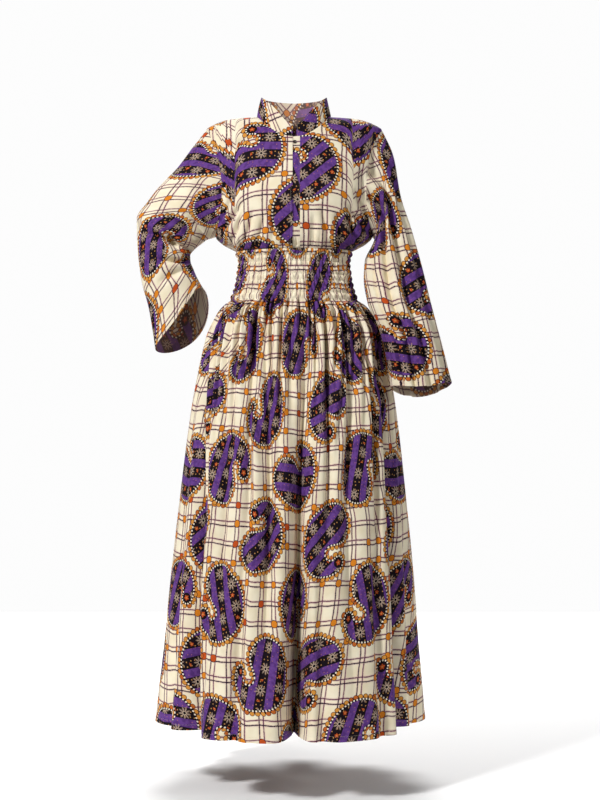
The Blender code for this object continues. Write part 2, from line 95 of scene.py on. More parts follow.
Armhole = namedtuple("Armhole", "z front back")
ARMHOLE = table(
    Armhole, "z",
    (-280, 1, 1),
    (-272, 0.985, 0.988),
    (-262, 0.96, 0.968),
    (-250, 0.938, 0.95),
    (-225, 0.905, 0.928),
    (-200, 0.884, 0.915),
    (-150, 0.86, 0.897),
    (-100, 0.865, 0.895),
    (-60, 0.908, 0.922),
    (-40, 0.962, 0.967),
    (-31, 1, 1),
)


def smooth(places, values, at):
    """Reads a curve through the given values that never overshoots them."""
    places, values = np.asarray(places, float), np.asarray(values, float)
    if places[0] > places[-1]:
        places, values = places[::-1], values[::-1]
    steps = np.diff(places)
    slopes = np.diff(values) / steps
    before, after = slopes[:-1], slopes[1:]
    turns = before * after <= 0
    total = np.where(turns, 1.0, before + after)
    inner = np.where(turns, 0.0, 2 * before * after / total)
    tangents = np.concatenate([slopes[:1], inner, slopes[-1:]])
    at = np.clip(at, places[0], places[-1])
    cell = np.clip(np.searchsorted(places, at, side="right") - 1, 0, len(steps) - 1)
    step = steps[cell]
    t = (at - places[cell]) / step
    return (
        values[cell] * (1 + 2 * t) * (1 - t) ** 2
        + values[cell + 1] * t**2 * (3 - 2 * t)
        + step * tangents[cell] * t * (1 - t) ** 2
        - step * tangents[cell + 1] * t**2 * (1 - t)
    )


def read(table, column, at, key="z"):
    """One column of a table, between its rows."""
    return smooth([getattr(row, key) for row in table], [getattr(row, column) for row in table], at)


def unit(vectors):
    return vectors / np.maximum(np.linalg.norm(vectors, axis=-1, keepdims=True), 1e-12)


def joined(*parts):
    """Points from their separate coordinates."""
    return np.stack(np.broadcast_arrays(*parts), axis=-1)


# Which columns of a table hold for each face of the bodice
SIDES = {-1: "front", 1: "back"}


def on_torso(x, z, face):
    """The point of the bodice's front (face -1) or back (face 1) over a place of the front view."""
    half_width = read(TORSO, "half_width", z)
    share = np.clip(np.abs(x) / half_width, 0, 1)
    y = face * read(TORSO, SIDES[face], z) * (1 - share**TORSO_POWER) ** (1 / TORSO_POWER)
    return joined(x, y, z)


def shoulder_z(x):
    """Height of the shoulder seam, which is where the section is as wide as x."""
    heights = np.linspace(SHOULDER_TIP, 0, SHOULDER_SAMPLES)
    widths = read(TORSO, "half_width", heights)
    return np.interp(x, widths[::-1], heights[::-1])


def neck_z(x, face):
    """Height of the neckline at x."""
    drop = NECK_DROP_FRONT if face < 0 else NECK_DROP_BACK
    level = np.sqrt(1 - np.clip(np.abs(x) / NECK_HALF_WIDTH, 0, 1) ** 2)
    return -drop * level**NECK_SHARPNESS


def outer_edge(v, face):
    """x and z along the side seam and then the armhole, for v from the waist to the shoulder."""
    side_share = SIDE_SEAM_ROWS / BODICE_ROWS
    up = np.clip((v - side_share) / (1 - side_share), 0, 1)
    side_z = WAIST_SEAM + (UNDERARM - WAIST_SEAM) * np.clip(v / side_share, 0, 1)
    turns = np.linspace(0, np.pi, ARMHOLE_SAMPLES)
    levels = UNDERARM + (SHOULDER_TIP - UNDERARM) * (1 - np.cos(turns)) / 2
    widths = read(ARMHOLE, SIDES[face], levels) * read(TORSO, "half_width", levels)
    stretches = np.linalg.norm(np.diff(on_torso(widths, levels, face), axis=0), axis=1)
    lengths = np.concatenate([[0], np.cumsum(stretches)]) / np.sum(stretches)
    on_side = v < side_share
    z = np.where(on_side, side_z, np.interp(up, lengths, levels))
    share = np.where(on_side, 1.0, read(ARMHOLE, SIDES[face], z))
    return share * read(TORSO, "half_width", z), z


def neck_places(on_neck, edge):
    """x along one half of the neckline, from the middle edge of a piece to the shoulder."""
    return edge + (NECK_HALF_WIDTH - edge) * np.sin(on_neck * np.pi / 2)


def bodice(face, edge):
    """One half of the bodice, at +X: columns run from the middle to the side and rows from the
    waist to the neck and shoulder. The edge is how far out the middle edge lies."""
    u, v = np.meshgrid(np.linspace(0, 1, BODICE_COLUMNS + 1), np.linspace(0, 1, BODICE_ROWS + 1))
    neck_share = NECK_COLUMNS / BODICE_COLUMNS
    tip_x = read(TORSO, "half_width", SHOULDER_TIP)
    neck_x = neck_places(np.clip(u / neck_share, 0, 1), edge)
    on_shoulder = np.clip((u - neck_share) / (1 - neck_share), 0, 1)
    top_x = neck_x + (tip_x - NECK_HALF_WIDTH) * on_shoulder
    top_z = np.where(u < neck_share, neck_z(neck_x, face), shoulder_z(top_x))
    side_x, side_z = outer_edge(v, face)
    start_z = neck_z(np.array(edge), face)
    middle_z = WAIST_SEAM + (start_z - WAIST_SEAM) * v**MIDDLE_SPACING
    share = (1 - v) * np.sin(u * np.pi / 2) + v * (top_x - edge) / (tip_x - edge)
    x = edge + (side_x - edge) * share
    bulge = top_z - (1 - u) * start_z - u * SHOULDER_TIP
    z = v * bulge + (1 - u) * middle_z + u * side_z
    points = on_torso(x, z, face)
    on_shoulder_seam = (v > 1 - NEARLY) & (u > neck_share - NEARLY)
    on_side_seam = (u > 1 - NEARLY) & (z <= UNDERARM + NEARLY)
    points[..., 1] = np.where(on_shoulder_seam | on_side_seam, 0.0, points[..., 1])
    return points


def mirrored(points):
    return points * (-1, 1, 1)


def lengths_along(points, axis):
    """How far each point lies along its row or column, measured on the cloth."""
    steps = np.linalg.norm(np.diff(points, axis=axis), axis=-1)
    start = np.zeros_like(np.take(steps, [0], axis=axis))
    return np.concatenate([start, np.cumsum(steps, axis=axis)], axis=axis)


MAP_STEPS_ACROSS = 49
MAP_STEPS_UP = 33


def torso_map(points, face):
    """Where each point of the bodice lies on its flat cloth: across from the middle and up from
    the waist."""
    x, z = points[..., 0], points[..., 2]
    shares = 1 - (1 - np.linspace(0, 1, MAP_STEPS_ACROSS)) ** 2
    rows = np.stack([on_torso(x * share, z, face) for share in shares])
    levels = [WAIST_SEAM + (z - WAIST_SEAM) * share for share in np.linspace(0, 1, MAP_STEPS_UP)]
    columns = np.stack([on_torso(x, level, face) for level in levels])
    return joined(np.sign(x) * lengths_along(rows, 0)[-1], lengths_along(columns, 0)[-1])


def laid(flat, shift, turn=0.0):
    """Places a piece of the pattern on the printed length of cloth, shifted and turned."""
    cos, sin = np.cos(np.radians(turn)), np.sin(np.radians(turn))
    across, up = flat[..., 0], flat[..., 1]
    return joined(across * cos - up * sin, across * sin + up * cos) + shift


# A soft trough (depth above 0) or ridge (below 0) from one place of the front view to another
Crease = namedtuple("Crease", "x0 z0 x1 z1 width depth")
CREASE_SHARPNESS = 1.6
CREASE_DEEPENS = 1.5
CREASE_SWELL = 1.2


def hill(off, width, sharpness=2):
    """1 in the middle of a crease or fold, falling off to both sides."""
    return np.exp(-(np.abs(off / width) ** sharpness))


def creased(across, up, creases):
    """How far soft creases push the cloth in, each deepest at its middle and fading to its ends."""
    total = 0 * across
    for crease in creases:
        run = np.array([crease.x1 - crease.x0, crease.z1 - crease.z0])
        length = np.linalg.norm(run)
        run = run / length
        from_x, from_z = across - crease.x0, up - crease.z0
        along = (from_x * run[0] + from_z * run[1]) / length
        off = from_z * run[0] - from_x * run[1]
        swell = np.sin(np.pi * np.clip(along, 0, 1)) ** CREASE_SWELL
        total = total + crease.depth * CREASE_DEEPENS * swell * hill(off, crease.width, CREASE_SHARPNESS)
    return total


WAIST_TUCKS = 34
WAIST_TUCKS_SPAN = 0.27
WAIST_TUCKS_SPREAD = 1.6
WAIST_TUCK_DEPTH = 0.0065
WAIST_TUCK_WIDTH = 0.0030
WAIST_TUCK_START = 0.006
WAIST_TUCK_SHORTEST = 0.014
WAIST_TUCK_VARIES = 0.034
WAIST_TUCKS_ASTRAY = 0.6
WAIST_TUCK_SHALLOWEST = 0.4


def dealt(count):
    """Two uneven numbers between 0 and 1 for each count, the same in every run."""
    return count * 0.618034 % 1, count * 0.754878 % 1


def waist_gathers(x, z):
    """Small uneven tucks where the bodice is eased into the waist seam."""
    up = z - WAIST_SEAM
    total = 0 * x
    for count in range(WAIST_TUCKS):
        luck, other = dealt(count)
        share = (count + 0.5 + WAIST_TUCKS_ASTRAY * (other - 0.5)) / WAIST_TUCKS
        centre = (share * WAIST_TUCKS_SPAN - WAIST_TUCKS_SPAN / 2) * (1 + up * WAIST_TUCKS_SPREAD)
        length = WAIST_TUCK_SHORTEST + WAIST_TUCK_VARIES * luck**2
        fade = np.clip(up / WAIST_TUCK_START, 0, 1) * hill(up, length)
        depth = WAIST_TUCK_DEPTH * (WAIST_TUCK_SHALLOWEST + (1 - WAIST_TUCK_SHALLOWEST) * other)
        total = total + depth * fade * hill(x - centre, WAIST_TUCK_WIDTH, CREASE_SHARPNESS)
    return total


def bodice_push(points, creases):
    """Creases and waist tucks of one piece of the bodice."""
    x, z = points[..., 0], points[..., 2]
    return creased(x, z, creases) + waist_gathers(x, z)


BACK_CREASES = table(
    Crease, "x0 z0 x1 z1 width depth",
    (60, -312, 135, -205, 8, 8),
    (-50, -312, -128, -195, 8.5, 8.5),
    (98, -312, 160, -252, 6.5, 6),
    (-105, -312, -165, -240, 6.5, 6.2),
    (168, -235, 120, -120, 9.5, 8.5),
    (-170, -225, -125, -105, 10, 9),
    (26, -312, 52, -180, 8.5, 5.5),
    (-18, -312, -44, -195, 8, 5),
    (-80, -52, 75, -56, 9, 2.6),
    (150, -60, 105, -150, 14, -3),
)


def directions(points, closed):
    """The outward direction at each point of a grid, from its neighbours."""
    down = np.gradient(points, axis=0)
    if closed:
        ring = points[:, :-1]
        across = np.roll(ring, -1, axis=1) - np.roll(ring, 1, axis=1)
        across = np.concatenate([across, across[:, :1]], axis=1)
    else:
        across = np.gradient(points, axis=1)
    return unit(np.cross(across, down))


BORDERS = {
    "first_row": np.s_[0],
    "last_row": np.s_[-1],
    "first_column": np.s_[:, 0],
    "last_column": np.s_[:, -1],
}


class Panel:
    """A piece of cloth as a grid of points, sewn along some of its borders."""

    def __init__(self, name, points, flat, sewn, outward, closed=False, pushed=0.0, raised=0.0):
        self.name = name
        self.points = points
        self.flat = flat
        self.sewn = sewn
        self.closed = closed
        self.facing = directions(points, closed) * outward
        self.pushed = np.broadcast_to(pushed, points.shape[:2]).copy()
        self.raised = np.broadcast_to(raised, points.shape[:2])

    def from_border(self, name):
        """How far every point lies from one border, measured on the cloth."""
        axis = 0 if "row" in name else 1
        lengths = lengths_along(self.points, axis)
        if name.startswith("first"):
            return lengths
        return np.take(lengths, [-1], axis=axis) - lengths

    def settle(self):
        """Takes the creases into the points, with none at a border and a shallow groove at each seam."""
        push = self.pushed
        for name in self.sewn:
            push = push * np.clip(self.from_border(name) / SEAM_CALM, 0, 1) ** SEAM_CALM_POWER
        for name in self.sewn:
            push = push + SEAM_DIP * hill(self.from_border(name), SEAM_DIP_WIDTH)
        if len(self.sewn) > 1:
            push = np.minimum(push, np.max(self.pushed) + SEAM_DIP)
        self.points = self.points - self.facing * push[..., None]


def share_directions(panels):
    """Makes both sides of each seam face the same way, so that neither stands proud."""
    sums = {}
    for panel in panels:
        for border in BORDERS.values():
            for place, facing in zip(panel.points[border], panel.facing[border]):
                key = tuple(np.round(place, 6))
                sums.setdefault(key, {})[panel.name] = facing
    for panel in panels:
        for border in BORDERS.values():
            keys = [tuple(np.round(place, 6)) for place in panel.points[border]]
            panel.facing[border] = unit(np.array([sum(sums[key].values()) for key in keys]))


# The print, in millimetres: a plaid of double lines with a dot at some crossings, and over it
# paisleys with a scalloped edge, striped and strewn with flowers. The layout is this part's own.
PLAID_ACROSS = 45.0
PLAID_UP = 43.0
REPEAT_WIDTH = 542.0
REPEAT_HEIGHT = 590.0
# Four staggered rows of two, each paisley turned its own way
Paisley = namedtuple("Paisley", "x y turn mirror size")
REPEAT = table(
    Paisley, "",
    (71, 71, 200, -1, 1.035),
    (336, 77, 75, 1, 1.06),
    (206, 224, 10, -1, 1.01),
    (478, 218, 230, -1, 1.06),
    (65, 372, 280, 1, 1.035),
    (342, 366, 100, 1, 1.06),
    (201, 513, 235, 1, 1.06),
    (472, 519, 15, -1, 1.035),
)
# A paisley is a round body that bends and narrows to a curled tip
BODY_RADIUS = 45.0
BODY_LENGTH = 24.0
TIP_RADIUS = 15.5
BEND_RADIUS = 52.0
BEND_TIGHTENS = 17.0
BEND_ANGLE = np.radians(212)
PAISLEY_MIDDLE = (24.0, 2.0)


def ink(red, green, blue):
    """A colour as printed, from its amounts of 255."""
    tones = np.array([red, green, blue]) / 255
    linear = np.where(tones <= 0.04045, tones / 12.92, ((tones + 0.055) / 1.055) ** 2.4)
    return (*linear, 1.0)


GROUND = ink(240, 230, 204)
GROUND_SHADE = ink(228, 213, 180)
LINE_DARK = ink(48, 30, 48)
LINE_PLUM = ink(98, 46, 74)
LINE_HALO = ink(216, 184, 172)
DOT_ORANGE = ink(214, 128, 34)
DOT_RED = ink(188, 76, 28)
OUTLINE = ink(72, 32, 18)
SCALLOP_GOLD = ink(208, 142, 60)
SCALLOP_RUST = ink(184, 96, 38)
PEARL = ink(236, 226, 208)
PEARL_SHADE = ink(190, 172, 150)
BLACK = ink(20, 10, 18)
PURPLE = ink(100, 62, 136)
PURPLE_SHADE = ink(66, 38, 98)
PETAL = ink(178, 154, 134)
PETAL_TIP = ink(72, 54, 60)
FLOWER_ORANGE = ink(190, 80, 32)
FLECK_GOLD = ink(190, 140, 78)
FLECK_PINK = ink(164, 98, 108)
REVERSE_BLUSH = ink(236, 196, 186)


class Field:
    """A number that varies over the cloth, so that a pattern can be written as plain sums."""

    def __init__(self, tree, socket):
        self.tree = tree
        self.socket = socket

    def __rsub__(self, other):
        return maths("SUBTRACT", other, self)


def feed(tree, node, values):
    """Gives inputs of a node a field, the output of another node, or a plain value."""
    for place, value in values.items():
        value = value.socket if isinstance(value, Field) else value
        if isinstance(value, bpy.types.NodeSocket):
            tree.links.new(value, node.inputs[place])
        else:
            node.inputs[place].default_value = value


def add_node(tree, kind, values, **settings):
    """A new node of a shader, with its settings and what goes into it."""
    node = tree.nodes.new("ShaderNode" + kind)
    for name, value in settings.items():
        setattr(node, name, value)
    feed(tree, node, values)
    return node


def maths(operation, *values):
    """One sum of the shader: each value is a field or a plain number."""
    tree = next(value.tree for value in values if isinstance(value, Field))
    node = add_node(tree, "Math", dict(enumerate(values)), operation=operation)
    return Field(tree, node.outputs[0])


# The sums that a field can be written in, by the names that Python has for their signs
SUMS = {
    "__add__": "ADD", "__sub__": "SUBTRACT", "__mul__": "MULTIPLY", "__truediv__": "DIVIDE",
    "__mod__": "FLOORED_MODULO", "__lt__": "LESS_THAN", "__gt__": "GREATER_THAN", "__abs__": "ABSOLUTE",
}


def written_as(operation):
    """What stands behind one of Python's signs."""
    return lambda field, *other: maths(operation, field, *other)


for sign, operation in SUMS.items():
    setattr(Field, sign, written_as(operation))


def least(first, second):
    return maths("MINIMUM", first, second)


def clamped(value, low, high):
    return maths("MAXIMUM", maths("MINIMUM", value, high), low)


def reach(across, up):
    """Distance from the middle of a shape."""
    return maths("SQRT", across * across + up * up)


def chosen(condition, when_true, when_false):
    """One of two fields, where the condition is 1 or 0."""
    return condition * (when_true - when_false) + when_false


def paint(colour, where, over):
    """Lays one ink over the colour so far, where the mask is 1."""
    return add_node(where.tree, "Mix", {0: where, 6: colour, 7: over}, data_type="RGBA").outputs[2]


def split(tree, vector):
    """The first two coordinates of a vector."""
    parts = add_node(tree, "SeparateXYZ", {0: vector})
    return Field(tree, parts.outputs[0]), Field(tree, parts.outputs[1])


def cloudy(tree, vector, scale, detail=2.0):
    """Soft uneven noise between 0 and 1 over the cloth's own map."""
    values = {"Scale": scale, "Detail": detail, "Vector": vector}
    return Field(tree, add_node(tree, "TexNoise", values, noise_dimensions="2D").outputs[0])


# Soft clouds of a second ink: the scale of their noise, what it is multiplied with, less what is
# taken off, and the most of the ink
Clouds = namedtuple("Clouds", "scale contrast taken_off most")
GROUND_CLOUDS = Clouds(22, 2.2, 0.85, 0.7)
PURPLE_CLOUDS = Clouds(0.09, 3.0, 1.3, 0.6)


def clouded(tree, vector, clouds):
    """How much of the second ink lies where."""
    cloud = cloudy(tree, vector, clouds.scale) * clouds.contrast - clouds.taken_off
    return clamped(cloud, 0.0, clouds.most)


# Each pattern draws its own chances
DOT_SEED = 3.0
FLECK_SEED = 7.0
BEAD_SEED = 1.0
FLOWER_SEED = 5.0


def chance(across, up, seed):
    """A random number for each cell of a pattern."""
    tree = across.tree
    cell = add_node(tree, "CombineXYZ", {0: maths("FLOOR", across), 1: maths("FLOOR", up), 2: seed})
    node = add_node(tree, "TexWhiteNoise", {"Vector": cell.outputs[0]}, noise_dimensions="3D")
    return Field(tree, node.outputs[0])


# The two lines of each pair in a cell of the plaid, the lines up the cloth first
PLAID_LINES = ((17.0, 27.6), (16.2, 26.2))
LINE_WANDERS = 9.0
WANDER_ACROSS = 11
WANDER_UP = 13
WEAR_SCALE = 240
DARK_HALF_WIDTH = 0.55
PLUM_HALF_WIDTH = 0.45
HALO_HALF_WIDTH = 3.2
HALO_STRENGTH = 0.6
LINE_WEAR = 1.5
DOT_MIDDLE = (22.3, 21.2)
DOT_RADIUS = 7.9
DOT_OUTLINE = 1.4
DOTS_LEFT_OUT = 0.47
RED_DOTS_FROM = 0.92


def printed_plaid(tree, vector, x, y):
    """The cream ground with its double lines both ways, and dots at some crossings."""
    colour = paint(GROUND, clouded(tree, vector, GROUND_CLOUDS), GROUND_SHADE)
    across = x + (cloudy(tree, vector, WANDER_ACROSS) - 0.5) * LINE_WANDERS
    up = y + (cloudy(tree, vector, WANDER_UP) - 0.5) * LINE_WANDERS
    wear = cloudy(tree, vector, WEAR_SCALE, 1.0)
    cell = (across % PLAID_ACROSS, up % PLAID_UP)
    for place, lines in zip(cell, PLAID_LINES):
        for line in lines:
            colour = paint(colour, (abs(place - line) < HALO_HALF_WIDTH) * HALO_STRENGTH, LINE_HALO)
    for place, (first, second) in zip(cell, PLAID_LINES):
        colour = paint(colour, abs(place - first) < wear * LINE_WEAR + DARK_HALF_WIDTH, LINE_DARK)
        colour = paint(colour, abs(place - second) < wear * LINE_WEAR + PLUM_HALF_WIDTH, LINE_PLUM)
    luck = chance(across / PLAID_ACROSS, up / PLAID_UP, DOT_SEED)
    drawn = luck > DOTS_LEFT_OUT
    from_dot = reach(cell[0] - DOT_MIDDLE[0], cell[1] - DOT_MIDDLE[1]) + wear * DOT_OUTLINE
    colour = paint(colour, (from_dot < DOT_RADIUS + DOT_OUTLINE) * drawn, OUTLINE)
    colour = paint(colour, (from_dot < DOT_RADIUS) * drawn, DOT_ORANGE)
    return paint(colour, (from_dot < DOT_RADIUS) * (luck > RED_DOTS_FROM), DOT_RED)


def nearest_paisley(tree, vector):
    """Millimetres across and up from the middle of the bend of whichever paisley lies nearest."""
    best, nearest = None, None
    high, low = (REPEAT_WIDTH / 2, REPEAT_HEIGHT / 2, 1), (-REPEAT_WIDTH / 2, -REPEAT_HEIGHT / 2, -1)
    for motif in REPEAT:
        values = {0: vector, 1: (motif.x, motif.y, 0)}
        centred = add_node(tree, "VectorMath", values, operation="SUBTRACT")
        values = {0: centred.outputs[0], 1: high, 2: low}
        wrapped = add_node(tree, "VectorMath", values, operation="WRAP")
        values = {
            "Vector": wrapped.outputs[0],
            "Rotation": (0, 0, np.radians(motif.turn)),
            "Scale": (motif.size * motif.mirror, motif.size, 1),
        }
        turned = add_node(tree, "Mapping", values, vector_type="TEXTURE").outputs[0]
        measured = add_node(tree, "VectorMath", {0: turned}, operation="LENGTH")
        distance = Field(tree, measured.outputs["Value"])
        if best is None:
            best, nearest = turned, distance
            continue
        values = {0: distance < nearest, 4: best, 5: turned}
        best = add_node(tree, "Mix", values, data_type="VECTOR").outputs[1]
        nearest = least(nearest, distance)
    across, up = split(tree, best)
    return across + PAISLEY_MIDDLE[0], up + PAISLEY_MIDDLE[1]


# Further than any shape of the print reaches, in millimetres
FAR_AWAY = 999.0


def paisley_outline(x, y):
    """Distance outside the paisley's edge (negative inside), and how far along the edge."""
    radius = reach(x, y)
    angle = maths("ARCTAN2", y, x)
    angle = angle + (angle < -1.0) * (2 * np.pi)
    on_bend = (angle > 0.0) * (angle < BEND_ANGLE)
    t = clamped(angle / BEND_ANGLE, 0.0, 1.0)
    spine = t * -BEND_TIGHTENS + BEND_RADIUS
    narrowing = BODY_RADIUS - TIP_RADIUS
    square = t * t
    half = (square * t * 2.0 - square * 3.0 + 1.0) * narrowing + TIP_RADIUS
    to_bend = abs(radius - spine) - half + (1.0 - on_bend) * FAR_AWAY
    to_body = reach(x - BEND_RADIUS, y - clamped(y, -BODY_LENGTH, 0.0)) - BODY_RADIUS
    tip_spine = BEND_RADIUS - BEND_TIGHTENS
    tip_x, tip_y = tip_spine * np.cos(BEND_ANGLE), tip_spine * np.sin(BEND_ANGLE)
    to_tip = reach(x - tip_x, y - tip_y) - TIP_RADIUS
    outside = least(least(to_bend, to_body), to_tip)
    middle_run = t * BEND_RADIUS - square * (BEND_TIGHTENS / 2)
    side_run = t * TIP_RADIUS + (t - square * t + square * square * 0.5) * narrowing
    side = (radius > spine) * 2.0 - 1.0
    along_bend = (middle_run + side * side_run) * BEND_ANGLE
    round_body = maths("ARCTAN2", y + BODY_LENGTH, x - BEND_RADIUS) * BODY_RADIUS - BODY_LENGTH
    along_body = chosen(y < -BODY_LENGTH, round_body, y)
    along_tip = maths("ARCTAN2", y - tip_y, x - tip_x) * TIP_RADIUS
    along = chosen(to_body < to_bend, along_body, along_bend)
    return outside, chosen(to_tip < least(to_bend, to_body), along_tip, along), (x - tip_x, y - tip_y)


STRIPE = 41.0
STRIPE_TURN = np.radians(32)
PURPLE_SHARE = 0.43
BODY_INSET = 4.4
FLOWER_SPACING = 48.0
FLOWER_LINE = 0.73
FLOWER_RADIUS = 13.5
FLOWER_SWAYS = 9.0
ROW_OFFSET = 17.0
BLOSSOM_RADIUS = 4.6
BLOSSOM_ASIDE = 4.0
TIP_EYE = 11.4
TIP_BLOSSOM = 6.2
BEAD_SPACING = 11.4
BEAD_RADIUS = 4.3
BEAD_OUT = 3.6
BEAD_OUTLINE = 1.2
PEARL_SPACING = 7.6
PEARL_RADIUS = 2.0
PEARL_IN = 2.0
EDGE_LINE = 0.3
RUST_BEADS_FROM = 0.66
FLECK_ASTRAY = 0.4
FLECKS_LEFT_OUT = 0.25
# How far apart the flecks are, and their radius
PINK_FLECKS = (10.4, 1.15)
GOLD_FLECKS = (9.6, 1.35)
BLOSSOMS_LEFT_OUT = 0.45
# The parts of a daisy and a blossom, as shares of their radius
DAISY_PETALS = 9.0
DAISY_MEAN = 0.74
DAISY_WAVE = 0.26
DAISY_GAP = -0.15
DAISY_SHADED = 0.62
DAISY_BRIGHT = 1.35
DAISY_PALEST = 0.35
DAISY_RING = 0.32
DAISY_EYE = 0.22
BLOSSOM_PETALS = 5.0
BLOSSOM_WAVE = 0.2
BLOSSOM_FILLED = 0.8
BLOSSOM_EYE = 0.28


def daisy(colour, across, up, radius, where):
    """A pale flower of thin petals that darken to their tips, round a black eye."""
    distance = reach(across, up)
    wave = maths("COSINE", maths("ARCTAN2", up, across) * DAISY_PETALS)
    rim = wave * (radius * DAISY_WAVE) + radius * DAISY_MEAN
    petal = (distance < rim) * (wave > DAISY_GAP) * where
    colour = paint(colour, (distance < radius * DAISY_SHADED) * where * 0.5, PETAL_TIP)
    fading = clamped(DAISY_BRIGHT - distance / radius, DAISY_PALEST, 1.0)
    colour = paint(colour, petal * fading, PETAL)
    colour = paint(colour, (distance < radius * DAISY_RING) * where, PEARL_SHADE)
    return paint(colour, (distance < radius * DAISY_EYE) * where, BLACK)


def blossom(colour, across, up, radius, where):
    """A small orange flower of five petals."""
    distance = reach(across, up)
    wave = maths("COSINE", maths("ARCTAN2", up, across) * BLOSSOM_PETALS)
    waved = wave * (radius * BLOSSOM_WAVE)
    colour = paint(colour, (distance < waved + radius) * where, OUTLINE)
    colour = paint(colour, (distance < waved + radius * BLOSSOM_FILLED) * where, FLOWER_ORANGE)
    return paint(colour, (distance < radius * BLOSSOM_EYE) * where, FLECK_GOLD)


def from_middle(run, spacing):
    """How far a place lies from the middle of its own stretch of a row."""
    return run % spacing - spacing / 2


def flecks(colour, across, up, spacing, radius, fleck_ink, where):
    """Tiny dots, one to a cell and each a little astray, with some left out."""
    luck = chance(across / spacing, up / spacing, FLECK_SEED)
    astray = (luck - 0.5) * (spacing * FLECK_ASTRAY)
    spot = reach(from_middle(across, spacing) + astray, from_middle(up, spacing) - astray) < radius
    return paint(colour, spot * (luck > FLECKS_LEFT_OUT) * where, fleck_ink)


def printed_paisleys(tree, colour, vector):
    """The paisleys over the plaid."""
    x, y = nearest_paisley(tree, vector)
    outside, along, (from_tip_x, from_tip_y) = paisley_outline(x, y)
    bead = reach(from_middle(along, BEAD_SPACING), outside - BEAD_OUT)
    rust = chance(along / BEAD_SPACING, outside * 0.0, BEAD_SEED) > RUST_BEADS_FROM
    colour = paint(colour, outside < BEAD_OUT, OUTLINE)
    colour = paint(colour, bead < BEAD_RADIUS + BEAD_OUTLINE, OUTLINE)
    colour = paint(colour, bead < BEAD_RADIUS, SCALLOP_GOLD)
    colour = paint(colour, (bead < BEAD_RADIUS) * rust, SCALLOP_RUST)
    colour = paint(colour, outside < EDGE_LINE, BLACK)
    across = x * np.cos(STRIPE_TURN) + y * np.sin(STRIPE_TURN)
    up = y * np.cos(STRIPE_TURN) - x * np.sin(STRIPE_TURN)
    body = outside < -BODY_INSET
    in_stripe = across % STRIPE
    purple = (in_stripe < STRIPE * PURPLE_SHARE) * body
    dark = body - purple
    colour = paint(colour, purple, PURPLE)
    colour = paint(colour, purple * clouded(tree, vector, PURPLE_CLOUDS), PURPLE_SHADE)
    colour = flecks(colour, across, up, *PINK_FLECKS, FLECK_PINK, purple)
    colour = flecks(colour, across, up, *GOLD_FLECKS, FLECK_GOLD, dark)
    row = maths("FLOOR", across / STRIPE)
    along_stripe = up + row * ROW_OFFSET
    middle = in_stripe - STRIPE * FLOWER_LINE
    luck = chance(along_stripe / FLOWER_SPACING, row, FLOWER_SEED)
    sway = (luck - 0.5) * FLOWER_SWAYS
    colour = daisy(colour, middle + sway, from_middle(along_stripe, FLOWER_SPACING), FLOWER_RADIUS, body)
    late = from_middle(along_stripe + FLOWER_SPACING / 2, FLOWER_SPACING)
    colour = blossom(colour, middle + BLOSSOM_ASIDE, late, BLOSSOM_RADIUS, dark * (luck > BLOSSOMS_LEFT_OUT))
    colour = paint(colour, (reach(from_tip_x, from_tip_y) < TIP_EYE) * body, BLACK)
    colour = blossom(colour, from_tip_x, from_tip_y, TIP_BLOSSOM, body)
    pearl = reach(from_middle(along, PEARL_SPACING), outside + PEARL_IN) < PEARL_RADIUS
    return paint(colour, pearl, PEARL)


THREAD_SPACING = 0.62
WEAVE_HEIGHT = 0.00006
CRUMPLE_HEIGHT = 0.0011
CRUMPLE_SCALE = 46
CRUMPLE_DETAIL = 4.0
RELIEF_STRENGTH = 0.55


def new_material(name, roughness):
    """A material with its nodes, and its surface shader."""
    made = bpy.data.materials.new(name)
    made.use_nodes = True
    shader = made.node_tree.nodes["Principled BSDF"]
    shader.inputs["Roughness"].default_value = roughness
    return made, made.node_tree, shader


def printed_cotton(name, fading, roughness):
    """Plain-woven cotton with the print; fading is how much of it is lost on the reverse."""
    made, tree, shader = new_material(name, roughness)
    own_map = add_node(tree, "UVMap", {}, uv_map="cloth").outputs[0]
    values = {0: own_map, "Scale": 1000}
    millimetres = add_node(tree, "VectorMath", values, operation="SCALE").outputs[0]
    x, y = split(tree, millimetres)
    colour = printed_paisleys(tree, printed_plaid(tree, own_map, x, y), millimetres)
    values = {0: fading, 6: colour, 7: REVERSE_BLUSH}
    colour = add_node(tree, "Mix", values, data_type="RGBA").outputs[2]
    turns = 2 * np.pi / THREAD_SPACING
    weave = maths("SINE", x * turns) * maths("SINE", y * turns)
    relief = weave * WEAVE_HEIGHT + cloudy(tree, own_map, CRUMPLE_SCALE, CRUMPLE_DETAIL) * CRUMPLE_HEIGHT
    bump = add_node(tree, "Bump", {"Strength": RELIEF_STRENGTH, "Distance": 1.0, "Height": relief})
    surface = {"Specular IOR Level": 0.10, "Sheen Weight": 0.02, "Sheen Roughness": 0.45}
    feed(tree, shader, {"Base Color": colour, "Normal": bump.outputs[0], **surface})
    return made


PRINT_FACE = printed_cotton("wax_print_face", 0.0, 0.72)
PRINT_REVERSE = printed_cotton("wax_print_reverse", 0.16, 0.80)


def as_mesh(name, bm, *surfaces):
    """A mesh with its materials, out of what was built."""
    mesh = bpy.data.meshes.new(name)
    bm.to_mesh(mesh)
    bm.free()
    for surface in surfaces:
        mesh.materials.append(surface)
    return mesh


def placed(name, data):
    """A new object of the scene, at the origin."""
    made = bpy.data.objects.new(name, data)
    bpy.context.scene.collection.objects.link(made)
    return made


def put(name, bm, *surfaces):
    """A finished piece, riding on the dress."""
    piece = placed(name, as_mesh(name, bm, *surfaces))
    piece.data.shade_smooth()
    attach(piece, "root")
    return piece


SHARP_EDGE = np.radians(62)


